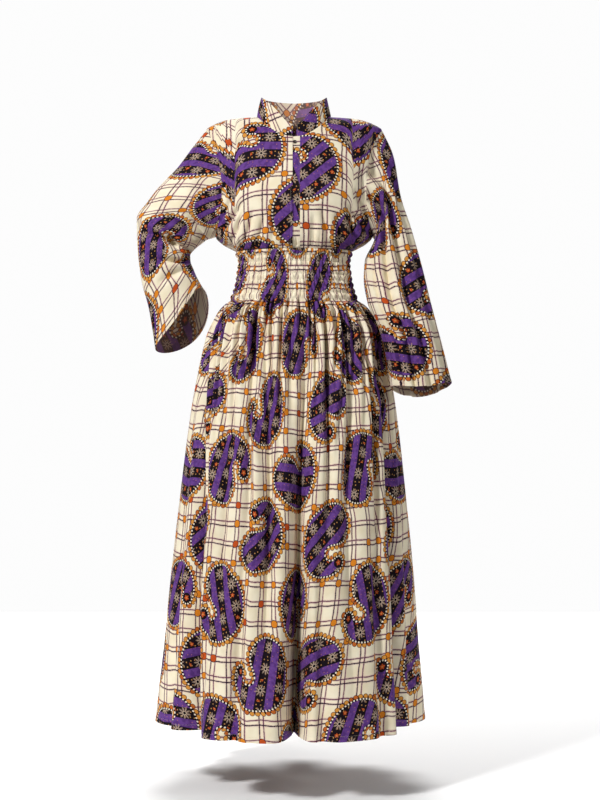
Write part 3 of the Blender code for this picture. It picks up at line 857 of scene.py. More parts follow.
def sew(panel):
    """A sheet laid out flat, shaped to the panel's inner points, then given its thickness. Its own
    map, in metres of flat cloth, is written from its rows and columns."""
    inner = panel.points - panel.facing * CLOTH / 2
    outer = panel.points + panel.facing * (CLOTH / 2 + panel.raised)[..., None]
    rows, columns = inner.shape[0] - 1, inner.shape[1] - 1
    bm = bmesh.new()
    row_of = bm.verts.layers.int.new("row")
    column_of = bm.verts.layers.int.new("column")
    bmesh.ops.create_grid(bm, x_segments=columns, y_segments=rows, size=0.5)
    for vert in bm.verts:
        column = round((vert.co.x + 0.5) * columns)
        vert[row_of] = round((vert.co.y + 0.5) * rows)
        vert[column_of] = column % columns if panel.closed else column
        vert.co = inner[vert[row_of], vert[column_of]]
    if panel.closed:
        bmesh.ops.remove_doubles(bm, verts=bm.verts, dist=TOUCH)
    for face in bm.faces:
        face.material_index = 1
    made = bmesh.ops.extrude_face_region(bm, geom=bm.faces[:], use_keep_orig=True)
    for part in made["geom"]:
        if isinstance(part, bmesh.types.BMVert):
            part.co = outer[part[row_of], part[column_of]]
        elif isinstance(part, bmesh.types.BMFace):
            part.material_index = 0
    bmesh.ops.recalc_face_normals(bm, faces=bm.faces)
    cloth_map = bm.loops.layers.uv.new("cloth")
    for face in bm.faces:
        wraps = panel.closed and max(vert[column_of] for vert in face.verts) > columns // 2
        for loop in face.loops:
            row, column = loop.vert[row_of], loop.vert[column_of]
            loop[cloth_map].uv = panel.flat[row, columns if wraps and column == 0 else column]
    for name in ("row", "column"):
        bm.verts.layers.int.remove(bm.verts.layers.int[name])
    piece = put(panel.name + "_cloth", bm, PRINT_FACE, PRINT_REVERSE)
    piece.data.set_sharp_from_angle(angle=SHARP_EDGE)
    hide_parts(panel.name)
    return piece


def bodice_panel(name, points, face, shift, sewn, push):
    """A piece of the bodice, laid on the printed cloth at its own place."""
    return Panel(name, points, laid(torso_map(points, face), shift), sewn, 1, pushed=push)


back_half = bodice(1, 0.0)
back_points = np.concatenate([back_half[:, ::-1], mirrored(back_half)[:, 1:]], axis=1)
bodice_back = bodice_panel(
    "bodice_back", back_points, 1, (0.366, 0.142), tuple(BORDERS), bodice_push(back_points, BACK_CREASES)
)

# ---------------------------------------------------------------------------------------------
# Right front of the bodice: it laps over the left one and ends in a turned edge at the middle.
# Small tucks ease it into the waist, and drag lines run to the bust and the armhole.
# ---------------------------------------------------------------------------------------------
LAP_EDGE = 0.003
FRONT_RIGHT_CREASES = table(
    Crease, "x0 z0 x1 z1 width depth",
    (-184, -284, -112, -205, 7, 10),
    (-182, -262, -138, -178, 6, 8.5),
    (-172, -225, -152, -120, 8, 5),
    (-150, -314, -118, -225, 6.5, 8.5),
    (-118, -314, -92, -222, 6, 7),
    (-85, -314, -68, -235, 5.8, 6),
    (-52, -314, -44, -215, 6, 5.4),
    (-24, -314, -26, -242, 5, 3.6),
    (-166, -90, -100, -58, 10, 5),
    (-150, -165, -50, -120, 16, -3),
)

WAIST_BUTTON = (-0.0100, -0.3000)
FLAT_ROUND_BUTTON = 0.010
BUTTON_SHARPNESS = 4


def right_front_push(points):
    """Creases and tucks of the right front, which lies flat under its button."""
    apart = np.hypot(points[..., 0] - WAIST_BUTTON[0], points[..., 2] - WAIST_BUTTON[1])
    return bodice_push(points, FRONT_RIGHT_CREASES) * (1 - hill(apart, FLAT_ROUND_BUTTON, BUTTON_SHARPNESS))


right_points = mirrored(bodice(-1, LAP_EDGE))[:, ::-1]
bodice_front_right = bodice_panel(
    "bodice_front_right", right_points, -1, (0.313, 0.277), ("first_row", "last_row", "first_column"),
    right_front_push(right_points),
)

# ---------------------------------------------------------------------------------------------
# Left front of the bodice: it lies one layer under the right front near the middle,
# where the button band is sewn to it.
# ---------------------------------------------------------------------------------------------
BAND_SEAM = 0.014
LAP_DEPTH = 0.0024
LAP_FADE_START = 0.026
LAP_FADE_END = 0.070
FRONT_LEFT_CREASES = table(
    Crease, "x0 z0 x1 z1 width depth",
    (184, -282, 114, -205, 7, 9.5),
    (181, -258, 140, -175, 6, 8),
    (172, -222, 156, -124, 8, 5),
    (150, -314, 124, -218, 6.5, 8.5),
    (112, -314, 96, -228, 6, 6.6),
    (84, -314, 62, -212, 6, 6.4),
    (45, -314, 46, -232, 5.6, 5),
    (160, -80, 98, -56, 10, 4.6),
    (55, -110, 155, -145, 17, -3),
)


def set_back(points):
    """The left front and its band lie one layer under the right front near the middle."""
    away = np.clip((np.abs(points[..., 0]) - LAP_FADE_START) / (LAP_FADE_END - LAP_FADE_START), 0, 1)
    moved = points.copy()
    moved[..., 1] += LAP_DEPTH * (1 - away) ** 2 * (1 + 2 * away)
    return moved


left_points = set_back(bodice(-1, BAND_SEAM))
bodice_front_left = bodice_panel(
    "bodice_front_left", left_points, -1, (0.041, 0.183), tuple(BORDERS),
    bodice_push(left_points, FRONT_LEFT_CREASES),
)

# ---------------------------------------------------------------------------------------------
# Button band: a narrow strip sewn to the left front's edge, passing under the right front.
# Only its outer third shows beside the lap.
# ---------------------------------------------------------------------------------------------
BAND_WIDTH = 0.036
BAND_COLUMNS = 18
COLLAR_LEFT_END = 0.006

band_x = np.linspace(BAND_SEAM - BAND_WIDTH, BAND_SEAM, BAND_COLUMNS + 1)
band_x = np.unique(np.append(band_x, COLLAR_LEFT_END))
x, v = np.meshgrid(band_x, np.linspace(0, 1, BODICE_ROWS + 1))
band_z = WAIST_SEAM + (neck_z(x, -1) - WAIST_SEAM) * v**MIDDLE_SPACING
band_points = set_back(on_torso(x, band_z, -1))
button_band = bodice_panel(
    "button_band", band_points, -1, (0.486, 0.071), ("first_row", "last_row", "last_column"),
    right_front_push(band_points),
)

# ---------------------------------------------------------------------------------------------
# Stand collar: one stiffened strip, cut on the slant and sewn round the neckline. Its ends
# are rounded down at the front and stand apart in a small V.
# ---------------------------------------------------------------------------------------------
COLLAR_ROWS = 20
COLLAR_SLANT = 41.0
COLLAR_TOP_HALF_WIDTH = 0.0765
COLLAR_TOP_FRONT = 0.069
COLLAR_TOP_BACK = 0.062
CollarTop = namedtuple("CollarTop", "angle z")
COLLAR_TOP = table(
    CollarTop, "z",
    (0, -29),
    (14, -17),
    (28, 4),
    (45, 24),
    (65, 39),
    (90, 47),
    (180, 44),
)


COLLAR_BOW = 0.0012


def collar_line():
    """The neckline that the collar is sewn to, from the right front round the back to the left."""
    on_neck = np.linspace(0, 1, NECK_COLUMNS + 1)
    right, behind = -neck_places(on_neck, LAP_EDGE), neck_places(on_neck, 0.0)
    left = np.append(neck_places(on_neck, BAND_SEAM)[::-1], COLLAR_LEFT_END)
    right_line = on_torso(right, neck_z(right, -1), -1)
    left_line = set_back(on_torso(left, neck_z(left, -1), -1))
    back_x = np.concatenate([-behind[::-1][1:], behind[1:]])
    back_line = on_torso(back_x, neck_z(back_x, 1), 1)
    for line in (right_line, left_line, back_line):
        on_seam = np.abs(line[:, 0]) > NECK_HALF_WIDTH - NEARLY
        line[:, 1] = np.where(on_seam, 0.0, line[:, 1])
    return np.concatenate([right_line, back_line[:-1], left_line])


line = collar_line()
place = np.arange(len(line))
angle = np.degrees(np.arcsin(np.clip(np.abs(line[:, 0]) / NECK_HALF_WIDTH, 0, 1)))
angle = np.where((place > NECK_COLUMNS) & (place < 3 * NECK_COLUMNS), 180 - angle, angle)
turn = np.radians(angle)
top_reach = np.where(np.cos(turn) > 0, COLLAR_TOP_FRONT, COLLAR_TOP_BACK)
top_x = np.sign(line[:, 0]) * COLLAR_TOP_HALF_WIDTH * np.sin(turn)
top = joined(top_x, -top_reach * np.cos(turn), read(COLLAR_TOP, "z", angle, "angle"))
rise = np.linspace(0, 1, COLLAR_ROWS + 1)[:, None, None]
collar_points = line * (1 - rise) + top * rise
collar_flat = joined(lengths_along(collar_points, 1)[[0]], lengths_along(collar_points, 0))
bow = COLLAR_BOW * np.sin(np.pi * rise[..., 0]) * np.sin(place * 0.11 + 0.6)
collar = Panel(
    "collar", collar_points, laid(collar_flat, (0.086, 0.136), COLLAR_SLANT), ("first_row",), -1,
    pushed=bow,
)

# ---------------------------------------------------------------------------------------------
# Sleeves: each is one piece, closed by a seam from the underarm and set into the armhole. They
# are straight and wide, with a narrow hem. The right arm is bent, so its sleeve breaks in
# folds at the elbow; the left one hangs nearly plain.
# ---------------------------------------------------------------------------------------------
Ring = namedtuple("Ring", "outer_x outer_z inner_x inner_z y half_depth lean bow")
SLEEVE_LEFT = table(
    Ring, "outer_x outer_z inner_x inner_z y half_depth lean bow",
    (207, -31, 184, -280, 0, 56, 0, 0),
    (233.5, -92, 191, -289, 0, 61, 0, 0),
    (250, -185, 179, -309, -3, 64, 0, 0),
    (274.5, -262, 166.5, -338, -9, 65, 0, 0),
    (302, -365, 163.5, -382, -24, 66, 0, 0),
    (316.5, -432, 172, -438, -43, 67, 0, 0),
    (329, -485, 193.5, -488, -58, 67, 3, 0),
    (345, -548, 211.5, -552, -66, 67, 7, 4),
    (363.6, -624, 224, -633, -72, 68, 12.5, 15),
)
SLEEVE_RIGHT = table(
    Ring, "outer_x outer_z inner_x inner_z y half_depth lean bow",
    (207, -31, 184, -280, 0, 56, 0, 0),
    (240, -73, 192.5, -282, 2, 66, 0, 0),
    (276, -120, 204, -285, 6, 70, 0, 0),
    (311, -154, 218, -294, 12, 69, 0, 0),
    (346, -197, 235, -307, 18, 66, 0, 0),
    (371, -236, 246, -321.5, 22, 63, 0, 0),
    (370, -284, 245, -336.4, 20, 60, 0, 0),
    (365.5, -338.7, 238.5, -353, 16, 57, 3, 0),
    (357, -390, 229, -375, 10, 52, 8, 2),
    (341, -447, 220, -391, 3, 44, 17, 8),
    (320.5, -549, 214, -402, -8, 33, 31, 24),
)
CAP_END = 2.0
CAP_ROWS = 36
ARM_ROWS = 78
HEM_WIDTH = 0.014
HEM_RIDGE = 0.0005
HEM_FOLD_SOFTNESS = 0.0006
HEM_STITCHED_AT = HEM_WIDTH - 0.002
HEM_STITCH_WIDTH = 0.0012
HEM_STITCH_BITES = 1.1
ELBOW_RING = 5.2
ELBOW_REACH = 2.0

# Creases of a sleeve: where each starts and ends, as degrees round the sleeve from its outer line
# (to the front is positive) and as rings along it. Its width is in degrees where it runs along
# the sleeve, as on the left one, and in rings where it runs round it, as on the right one.
LEFT_SLEEVE_CREASES = table(
    Crease, "depth",
    (38, 0.3, 76, 2.6, 6.5, 7.5),
    (84, 0.2, 56, 3.9, 6, 8.5),
    (118, 0.8, 94, 5.3, 7, 9.5),
    (20, 2.2, 44, 6.2, 8, 5.5),
    (66, 3.8, 84, 8.8, 7, 8.5),
    (104, 5, 112, 8.8, 7.5, 6.5),
    (130, 4.2, 136, 8.8, 8.5, 7),
    (-40, 0.4, -76, 2.8, 6.5, 7),
    (-92, 0.6, -60, 5, 7.5, 8.5),
    (-120, 2, -104, 7.5, 8, 8.5),
    (-30, 4, -52, 8.6, 9, 6),
)
RIGHT_SLEEVE_CREASES = table(
    Crease, "depth",
    (176, 4.5, 44, 5.6, 0.2, 15),
    (168, 5.5, 70, 4.2, 0.17, 10.5),
    (174, 6.2, 60, 7, 0.19, 13),
    (158, 3.3, 58, 3.9, 0.19, 10),
    (146, 7.3, 60, 8.4, 0.26, 7.5),
    (160, 2.1, 84, 3, 0.21, 8),
    (130, 0.2, 60, 1.7, 0.22, 6.5),
    (-168, 4.6, -60, 5.2, 0.24, 11.5),
    (-160, 5.8, -80, 6.6, 0.23, 9.5),
    (-150, 3.4, -76, 4, 0.22, 8),
    (-140, 7.4, -66, 8.4, 0.25, 7.5),
)


def sleeve_ring(turn, along, rings):
    """A point at an angle round the sleeve (0 outer side, positive to the front), and so far
    along its rings."""
    places = np.arange(len(rings))
    value = {name: smooth(places, [getattr(ring, name) for ring in rings], along) for name in Ring._fields}
    outer = joined(value["outer_x"], value["y"], value["outer_z"])
    inner = joined(value["inner_x"], value["y"], value["inner_z"])
    half = (outer - inner) / 2
    length = np.linalg.norm(half, axis=-1)
    down = joined(half[..., 2], 0, -half[..., 0]) / length[..., None]
    down = down * np.sign(-down[..., 2:3] + NEARLY)
    sag = value["bow"] * np.sin(turn) ** 2 - value["lean"] * np.sin(turn)
    forward = joined(0, -value["half_depth"] * np.sin(turn), 0)
    return (outer + inner) / 2 + half * np.cos(turn)[..., None] + down * sag[..., None] + forward


def sleeve(rings):
    """Rows from the armhole to the end of the sleeve, at +X. Columns start at the underarm and
    run up the front, over the shoulder and down the back."""
    rows = BODICE_ROWS - SIDE_SEAM_ROWS
    v = np.linspace(SIDE_SEAM_ROWS / BODICE_ROWS, 1, rows + 1)
    seam = []
    for face in (-1, 1):
        x, z = outer_edge(v, face)
        points = on_torso(x, z, face)
        points[[0, -1], 1] = 0.0
        seam.append(points)
    armhole = np.concatenate([seam[0], seam[1][::-1][1:]])
    turn = np.pi * (1 - np.arange(2 * rows + 1) / rows)
    cap = np.linspace(0, CAP_END, CAP_ROWS + 1)
    arm = np.linspace(CAP_END, len(rings) - 1, ARM_ROWS + 1)[1:]
    along = np.concatenate([cap, arm])
    turns, alongs = np.meshgrid(turn, along)
    points = sleeve_ring(turns, alongs, rings)
    fade = np.clip(1 - along / CAP_END, 0, 1)[:, None, None] ** 2
    return points + fade * (armhole - sleeve_ring(turn, 0 * turn, rings)), turns, alongs


def sleeve_map(points, alongs, crumpled):
    """Flat cloth of a sleeve: across from its outer line, and up from its end. Where the arm
    bends, more cloth lies crumpled on the inside than the shape there is long."""
    middle = points.shape[1] // 2
    round_it = lengths_along(points, 1)
    own = np.diff(lengths_along(points, 0), axis=0)
    share = crumpled * hill(alongs[1:] - ELBOW_RING, ELBOW_REACH)
    steps = own * (1 - share) + own[:, [middle]] * share
    up = np.cumsum(steps[::-1], axis=0)[::-1]
    return joined(round_it - round_it[:, [middle]], np.concatenate([up, 0 * up[:1]]))


def hem_ridge(from_edge):
    """How far a turned and stitched hem stands out, by the distance from the edge."""
    fold = 1 / (1 + np.exp((from_edge - HEM_WIDTH) / HEM_FOLD_SOFTNESS))
    return HEM_RIDGE * (fold - HEM_STITCH_BITES * hill(from_edge - HEM_STITCHED_AT, HEM_STITCH_WIDTH))


def set_in_sleeve(name, rings, creases, side, shift, turn_cloth, crumpled):
    """A sleeve of the wearer's left arm (side 1), or of the right one (side -1)."""
    points, turns, alongs = sleeve(rings)
    push = creased(np.degrees(turns), alongs, creases)
    points = points * (side, 1, 1)
    flat = sleeve_map(points, alongs, crumpled) * (side, 1)
    lengths = lengths_along(points, 0)
    return Panel(
        name, points, laid(flat, shift, turn_cloth), ("first_row",), -side,
        closed=True, pushed=push, raised=hem_ridge(lengths[[-1]] - lengths),
    )


sleeve_left = set_in_sleeve("sleeve_left", SLEEVE_LEFT, LEFT_SLEEVE_CREASES, 1, (0.360, 0.425), 3.0, 0.0)
sleeve_right = set_in_sleeve(
    "sleeve_right", SLEEVE_RIGHT, RIGHT_SLEEVE_CREASES, -1, (0.100, 0.012), -4.0, 0.85
)

# ---------------------------------------------------------------------------------------------
# Skirt: a front and a back width, each gathered on rows of elastic thread to make the shirred
# waist, and then left to fall in folds to a stitched hem. The shirring puffs between its rows.
# ---------------------------------------------------------------------------------------------
SHIRRING_END = -0.429
HEM = -1.410
SKIRT_POWER = 2.1
SKIRT_SWAY = -0.008
SKIRT_COLUMNS = 392
PUFFS = 8
ROWS_PER_PUFF = 6
PUFF_HEIGHT = 0.0060
PUFF_RUNS_ON = 0.45
PUFF_ENDS = 0.05
PUFFS_ROUND = 92
CLOTH_DRAWN_UP = 0.55
DRAWN_INTO_GAPS = 0.0017
GATHERS = 44
GATHER_HEIGHT = 0.0022
GATHER_FULL = -0.455
GATHER_END = -0.640
GATHERS_SWELL = 0.0030
GATHER_ROWS = 30
GATHER_ROW_SPACING = 1.35
FOLD_ROWS = 34
HEM_ROWS = 10
HEM_CLOSE_ROWS = 0.020
VALLEYS = 70
VALLEY_START = 0.010
VALLEY_SHARPNESS = 2.0
VALLEY_FADE = 1.6
VALLEYS_DRIFT = 45.0
TUCKS_FROM_GATHERS = -0.5
TUCK_START = 9
TUCK_DEEPENS = 2.6
FOLD_LINE_SHARE = 0.40
FOLD_LINE_WIDTH = 0.34

SKIRT = table(
    Section, "z half_width front back",
    (-314, 135, 98, 87),
    (-340, 127, 94, 83),
    (-375, 131, 96, 85),
    (-405, 137, 100, 90),
    (-429, 148, 106, 98),
    (-440, 164, 112, 108),
    (-456, 177, 120, 118),
    (-475, 188, 127, 128),
    (-498.5, 200, 136, 139),
    (-571, 218, 158, 167),
    (-663, 235, 178, 186),
    (-757, 248, 196, 199),
    (-898, 264, 220, 218),
    (-1100, 285, 254, 247),
    (-1220, 295, 274, 264),
    (-1345, 308, 300, 281),
    (-1410, 314, 311, 292),
)

# Valleys between the folds: the angle round the body from the centre front, to the wearer's
# left, and the depth, each under the shirring, half way down and at the hem
Fold = namedtuple("Fold", "top middle hem width depth_top depth_middle depth_hem")
FOLDS = table(
    Fold, "depth_top depth_middle depth_hem",
    (8, 3, 2, 4.3, 10, 34, 100),
    (-20, -11, -11, 3.8, 13, 22, 0),
    (-52, -35, -33, 5, 12, 12, 0),
    (-78, -57, -51, 6.5, 10, 36, 74),
    (-82, -73, -69, 9, 0, 10, 22),
    (46, 27, 26, 4.6, 13, 12, 0),
    (72, 62, 60, 7, 8, 40, 86),
    (80, 77, 75, 9, 0, 10, 26),
    (-98, -100, -96, 5, 9, 16, 22),
    (-122, -117, -113, 6.5, 11, 34, 66),
    (-143, -141, -142, 6, 10, 26, 52),
    (-163, -166, -168, 5.5, 12, 36, 84),
    (177, 179, 183, 4.4, 10, 14, 0),
    (160, 160, 158, 6, 10, 30, 70),
    (137, 133, 131, 5, 11, 20, 30),
    (116, 112, 108, 6.5, 9, 34, 72),
)

# Finer folds that run out between the main ones: the angle where each starts, where it has
# drifted to at its end, the heights of both, its width in degrees and its depth
Tuck = namedtuple("Tuck", "angle_top angle_end top end width depth")
TUCKS = table(
    Tuck, "top end depth",
    (-2, -1, -440, -780, 2.3, 6),
    (-8, -6, -440, -960, 2.2, 7),
    (-14, -10, -440, -660, 1.9, 5.5),
    (-27, -19, -440, -1050, 2.7, 8.5),
    (-34, -25, -440, -740, 2.3, 6.5),
    (-41, -30, -440, -880, 2.5, 7),
    (-60, -44, -440, -1120, 3, 8),
    (-67, -50, -440, -720, 2.6, 6),
    (15, 9, -440, -840, 2.3, 7),
    (21, 14, -440, -1160, 2.6, 9),
    (30, 20, -440, -700, 2.2, 6),
    (37, 26, -440, -920, 2.4, 6.5),
    (54, 40, -440, -1200, 2.9, 9),
    (63, 50, -440, -760, 2.6, 6),
    (-22, -23, -820, -1400, 3.4, 8),
    (12, 13, -860, -1400, 3.6, 8.5),
    (40, 42, -900, -1400, 4, 8),
    (-40, -42, -950, -1400, 4, 7.5),
    (94, 95, -440, -950, 3, 7),
    (104, 102, -440, -800, 2.6, 6),
    (125, 121, -440, -1050, 2.8, 8),
    (148, 146, -440, -860, 2.4, 7),
    (168, 169, -440, -1150, 2.6, 8.5),
    (190, 188, -440, -800, 2.4, 7),
    (207, 206, -440, -1020, 2.5, 7.5),
    (228, 229, -440, -780, 2.5, 6.5),
    (249, 250, -440, -1100, 2.8, 8),
    (145, 146, -900, -1400, 3.8, 8),
    (205, 206, -940, -1400, 3.6, 8),
    (260, 260, -960, -1400, 3.4, 7),
)


def between(centre_at, angle):
    """Degrees round the body from a place, the short way."""
    return (angle - centre_at + 180) % 360 - 180


def gathers_rise(z):
    """0 at the last row of elastic and 1 where the gathers are full."""
    return np.clip((SHIRRING_END - z) / (SHIRRING_END - GATHER_FULL), 0, 1)


def fold_depth(angle, z):
    """How far the skirt lies inside the crests of its folds, which narrow to a line at the bottom."""
    down = (z - SHIRRING_END) / (HEM - SHIRRING_END)
    total = 0 * angle
    for fold in FOLDS:
        centre = smooth((0, 0.5, 1), (fold.top, fold.middle, fold.hem), down)
        depth = smooth((0, 0.5, 1), (fold.depth_top, fold.depth_middle, fold.depth_hem), down)
        off = between(centre, angle) / fold.width
        line = FOLD_LINE_SHARE * hill(off, FOLD_LINE_WIDTH, VALLEY_SHARPNESS)
        total = total + gathers_rise(z) * depth * (hill(off, 1) + line)
    return total


def tuck_depth(angle, z):
    """The finer folds, each fading out at its own height."""
    total = 0 * angle
    for tuck in TUCKS:
        along = np.clip((tuck.top - z) / (tuck.top - tuck.end), 0, 1)
        centre = tuck.angle_top + (tuck.angle_end - tuck.angle_top) * along
        if tuck.top > TUCKS_FROM_GATHERS:
            strength = np.clip(along * TUCK_START, 0, 1) * (1 - along**2)
        else:
            strength = np.sin(np.pi / 2 * along)
        width = tuck.width * (1 + along) / 2
        fine = hill(between(centre, angle), width, VALLEY_SHARPNESS)
        total = total + TUCK_DEEPENS * tuck.depth * strength * fine
    return total


# The gathers swell and sink a little round the waist
GATHERS_VARY = 0.2
GATHERS_SWELLS = 5


def gather_wave(angle):
    """The gathers round the waist, between -1 and 1."""
    turn = np.radians(angle)
    swell = 1 - GATHERS_VARY + GATHERS_VARY * np.sin(turn * GATHERS_SWELLS + 1)
    return np.cos(turn * GATHERS) * swell


# The least of each measure of a valley, and how much more of it chance may add
VALLEYS_ASTRAY = 0.8
VALLEY_LENGTH = (0.05, 0.28)
VALLEY_WIDTH = (0.85, 0.45)
VALLEY_DEPTH = (0.0100, 0.0160)
VALLEY_WIDENS = 0.5


def gather_valleys(angle, z):
    """Narrow valleys that start under the last row of elastic, uneven in depth, width and length.
    In front they drift towards the middle, as the skirt widens at its sides."""
    below = np.clip(SHIRRING_END - z, 0, None)
    starts = np.clip(below / VALLEY_START, 0, 1)
    total = 0 * angle
    for count in range(VALLEYS):
        luck, other = dealt(count)
        start = (count + VALLEYS_ASTRAY * (other - 0.5)) * 360 / VALLEYS - 180
        drift = VALLEYS_DRIFT * np.sin(np.radians(2 * start)) if abs(start) < 90 else 0.0
        length = VALLEY_LENGTH[0] + VALLEY_LENGTH[1] * luck**2
        width = (VALLEY_WIDTH[0] + VALLEY_WIDTH[1] * other) * (1 + VALLEY_WIDENS * below / length)
        depth = VALLEY_DEPTH[0] + VALLEY_DEPTH[1] * ((luck + other) % 1)
        fade = starts * hill(below, length, VALLEY_FADE)
        narrow = hill(between(start - drift * below, angle), width, VALLEY_SHARPNESS)
        total = total + depth * fade * narrow
    return total


def skirt_crests(angle, z):
    """The point and the outward direction of the skirt over the crests of its folds."""
    turn = np.radians(angle)
    across, ahead = np.sin(turn), np.cos(turn)
    half_width = read(SKIRT, "half_width", z)
    deep = np.where(ahead > 0, read(SKIRT, "front", z), read(SKIRT, "back", z))
    down = np.clip((SHIRRING_END - z) / (SHIRRING_END - HEM), 0, 1)
    x = half_width * np.sign(across) * np.abs(across) ** (2 / SKIRT_POWER) + SKIRT_SWAY * down**2
    y = -deep * np.sign(ahead) * np.abs(ahead) ** (2 / SKIRT_POWER)
    return joined(x, y, z), unit(joined(across / half_width, -ahead / deep, 0))


def skirt(angle, z):
    """A point of the skirt at an angle round the body from the centre front."""
    crests, out = skirt_crests(angle, z)
    rise = gathers_rise(z)
    fall = np.clip((z - GATHER_END) / (GATHER_FULL - GATHER_END), 0, 1)
    push = GATHER_HEIGHT * rise * fall * gather_wave(angle) + GATHERS_SWELL * rise
    push = push - fold_depth(angle, z) - gather_valleys(angle, z) - tuck_depth(angle, z)
    return crests + out * push[..., None]


def skirt_heights():
    """Rows down the skirt: many to each puff, then wider ones, and close ones again at the hem."""
    shirring = np.linspace(WAIST_SEAM, SHIRRING_END, PUFFS * ROWS_PER_PUFF + 1)
    shares = np.linspace(0, 1, GATHER_ROWS + 1) ** GATHER_ROW_SPACING
    gathers = SHIRRING_END + (GATHER_END - SHIRRING_END) * shares
    folds = np.linspace(GATHER_END, HEM + HEM_CLOSE_ROWS, FOLD_ROWS + 1)
    hem = np.linspace(HEM + HEM_CLOSE_ROWS, HEM, HEM_ROWS + 1)
    return np.concatenate([shirring, gathers[1:], folds[1:], hem[1:]])


def down_shirring(z):
    """0 at the waist seam and 1 at the last row of elastic."""
    return (WAIST_SEAM - z) / (WAIST_SEAM - SHIRRING_END)


def puff_turn(angle, z):
    """Counts the puffs round the waist, half a turn to each, drifting a little on the way down."""
    along, turn = down_shirring(z), np.radians(angle)
    return turn * PUFFS_ROUND / 2 + 2.6 * np.sin(along * 5) + 1.6 * np.sin(turn * 6 + along * 7)


def puff(angle, z):
    """How far the shirring stands out between two rows of elastic, drawn up unevenly."""
    along, turn = down_shirring(z), np.radians(angle)
    between_rows = np.where(along < 1, np.abs(np.sin(np.pi * PUFFS * along)), 0.0) ** 1.1
    ends = np.clip(along / PUFF_ENDS, 0, 1) * np.clip((1 - along) / PUFF_ENDS, 0, 1)
    pinch = between_rows * (1 - PUFF_RUNS_ON) + ends * PUFF_RUNS_ON
    bump = np.abs(np.sin(puff_turn(angle, z))) ** 0.8
    uneven = 0.80 + 0.20 * np.cos(turn * 31 + along * 11 + 1.2 * np.sin(turn * 9))
    return PUFF_HEIGHT * pinch * (0.08 + 0.92 * bump) * uneven


def skirt_map(angle, z):
    """Flat cloth of a skirt width: across from its middle, and down from the waist."""
    crests, out = skirt_crests(angle, z)
    smoothed = crests - out * fold_depth(angle, z)[..., None]
    across = lengths_along(skirt(angle, z), 1)
    width = across[:, [-1]]
    middle = across.shape[1] // 2
    across = (across - across[:, [middle]]) * (1 + CLOTH_DRAWN_UP * (width[-1] / width - 1))
    drawn_in = np.where(z > SHIRRING_END, DRAWN_INTO_GAPS * np.sin(2 * puff_turn(angle, z)), 0.0)
    return joined(across + drawn_in, -lengths_along(smoothed, 0))


def skirt_width(name, first, last, shift):
    angle, z = np.meshgrid(np.linspace(first, last, SKIRT_COLUMNS + 1), skirt_heights())
    raised = puff(angle, z) + hem_ridge(z - HEM)
    return Panel(
        name, skirt(angle, z), laid(skirt_map(angle, z), shift),
        ("first_row", "first_column", "last_column"), -1, raised=raised,
    )


skirt_front = skirt_width("skirt_front", -90, 90, (0.183, 0.454))
skirt_back = skirt_width("skirt_back", 90, 270, (0.472, 0.224))

panels = (
    bodice_back, bodice_front_right, bodice_front_left, button_band, collar,
    sleeve_left, sleeve_right, skirt_front, skirt_back,
)
share_directions(panels)
for panel in panels:
    panel.settle()
cloths = {panel.name: sew(panel) for panel in panels}

# ---------------------------------------------------------------------------------------------
# Buttons: two small dark round ones of glossy plastic, turned with a raised rim and held by two
# bars of thread. The upper one sits on the button band, the lower one on the right front above
# the waist.
# ---------------------------------------------------------------------------------------------
BUTTON_RADIUS = 0.0043
BUTTON_THICKNESS = 0.0022
BUTTON_GAP = 0.0003
BUTTON_STEPS = 40
# The outline that is turned: how far out, and how high as a share of the thickness
BUTTON_PROFILE = (
    (0.0, 0.45), (0.0010, 0.45), (0.0024, 0.50), (0.0030, 0.78), (0.0035, 0.98), (0.0040, 0.90),
    (0.0043, 0.60), (0.0041, 0.22), (0.0034, 0.02), (0.0, 0.0),
)


def speckled(name, roughness, colour, fleck, strength, scale):
    """A plain colour, slightly clouded with another one all over."""
    made, tree, shader = new_material(name, roughness)
    place = add_node(tree, "TexCoord", {}).outputs["Object"]
    cloud = add_node(tree, "TexNoise", {"Scale": scale, "Vector": place})
    mixed = paint(colour, Field(tree, cloud.outputs[0]) * strength, fleck)
    feed(tree, shader, {"Base Color": mixed})
    return made


BUTTON_GLOSS = speckled("button_gloss", 0.32, ink(34, 20, 20), ink(62, 38, 34), 1.0, 900)
THREAD_SHADE = ink(40, 26, 40)
THREAD_DARK = speckled("thread_dark", 0.7, ink(48, 30, 44), THREAD_SHADE, 0.3, 1400)
THREAD_CREAM = speckled("thread_cream", 0.7, ink(226, 212, 182), THREAD_SHADE, 0.3, 1400)
THREAD_BAR = (0.0014, 0.00032, 0.00028)
THREAD_BAR_ASIDE = 0.00055
THREAD_BAR_HEIGHT = 0.52


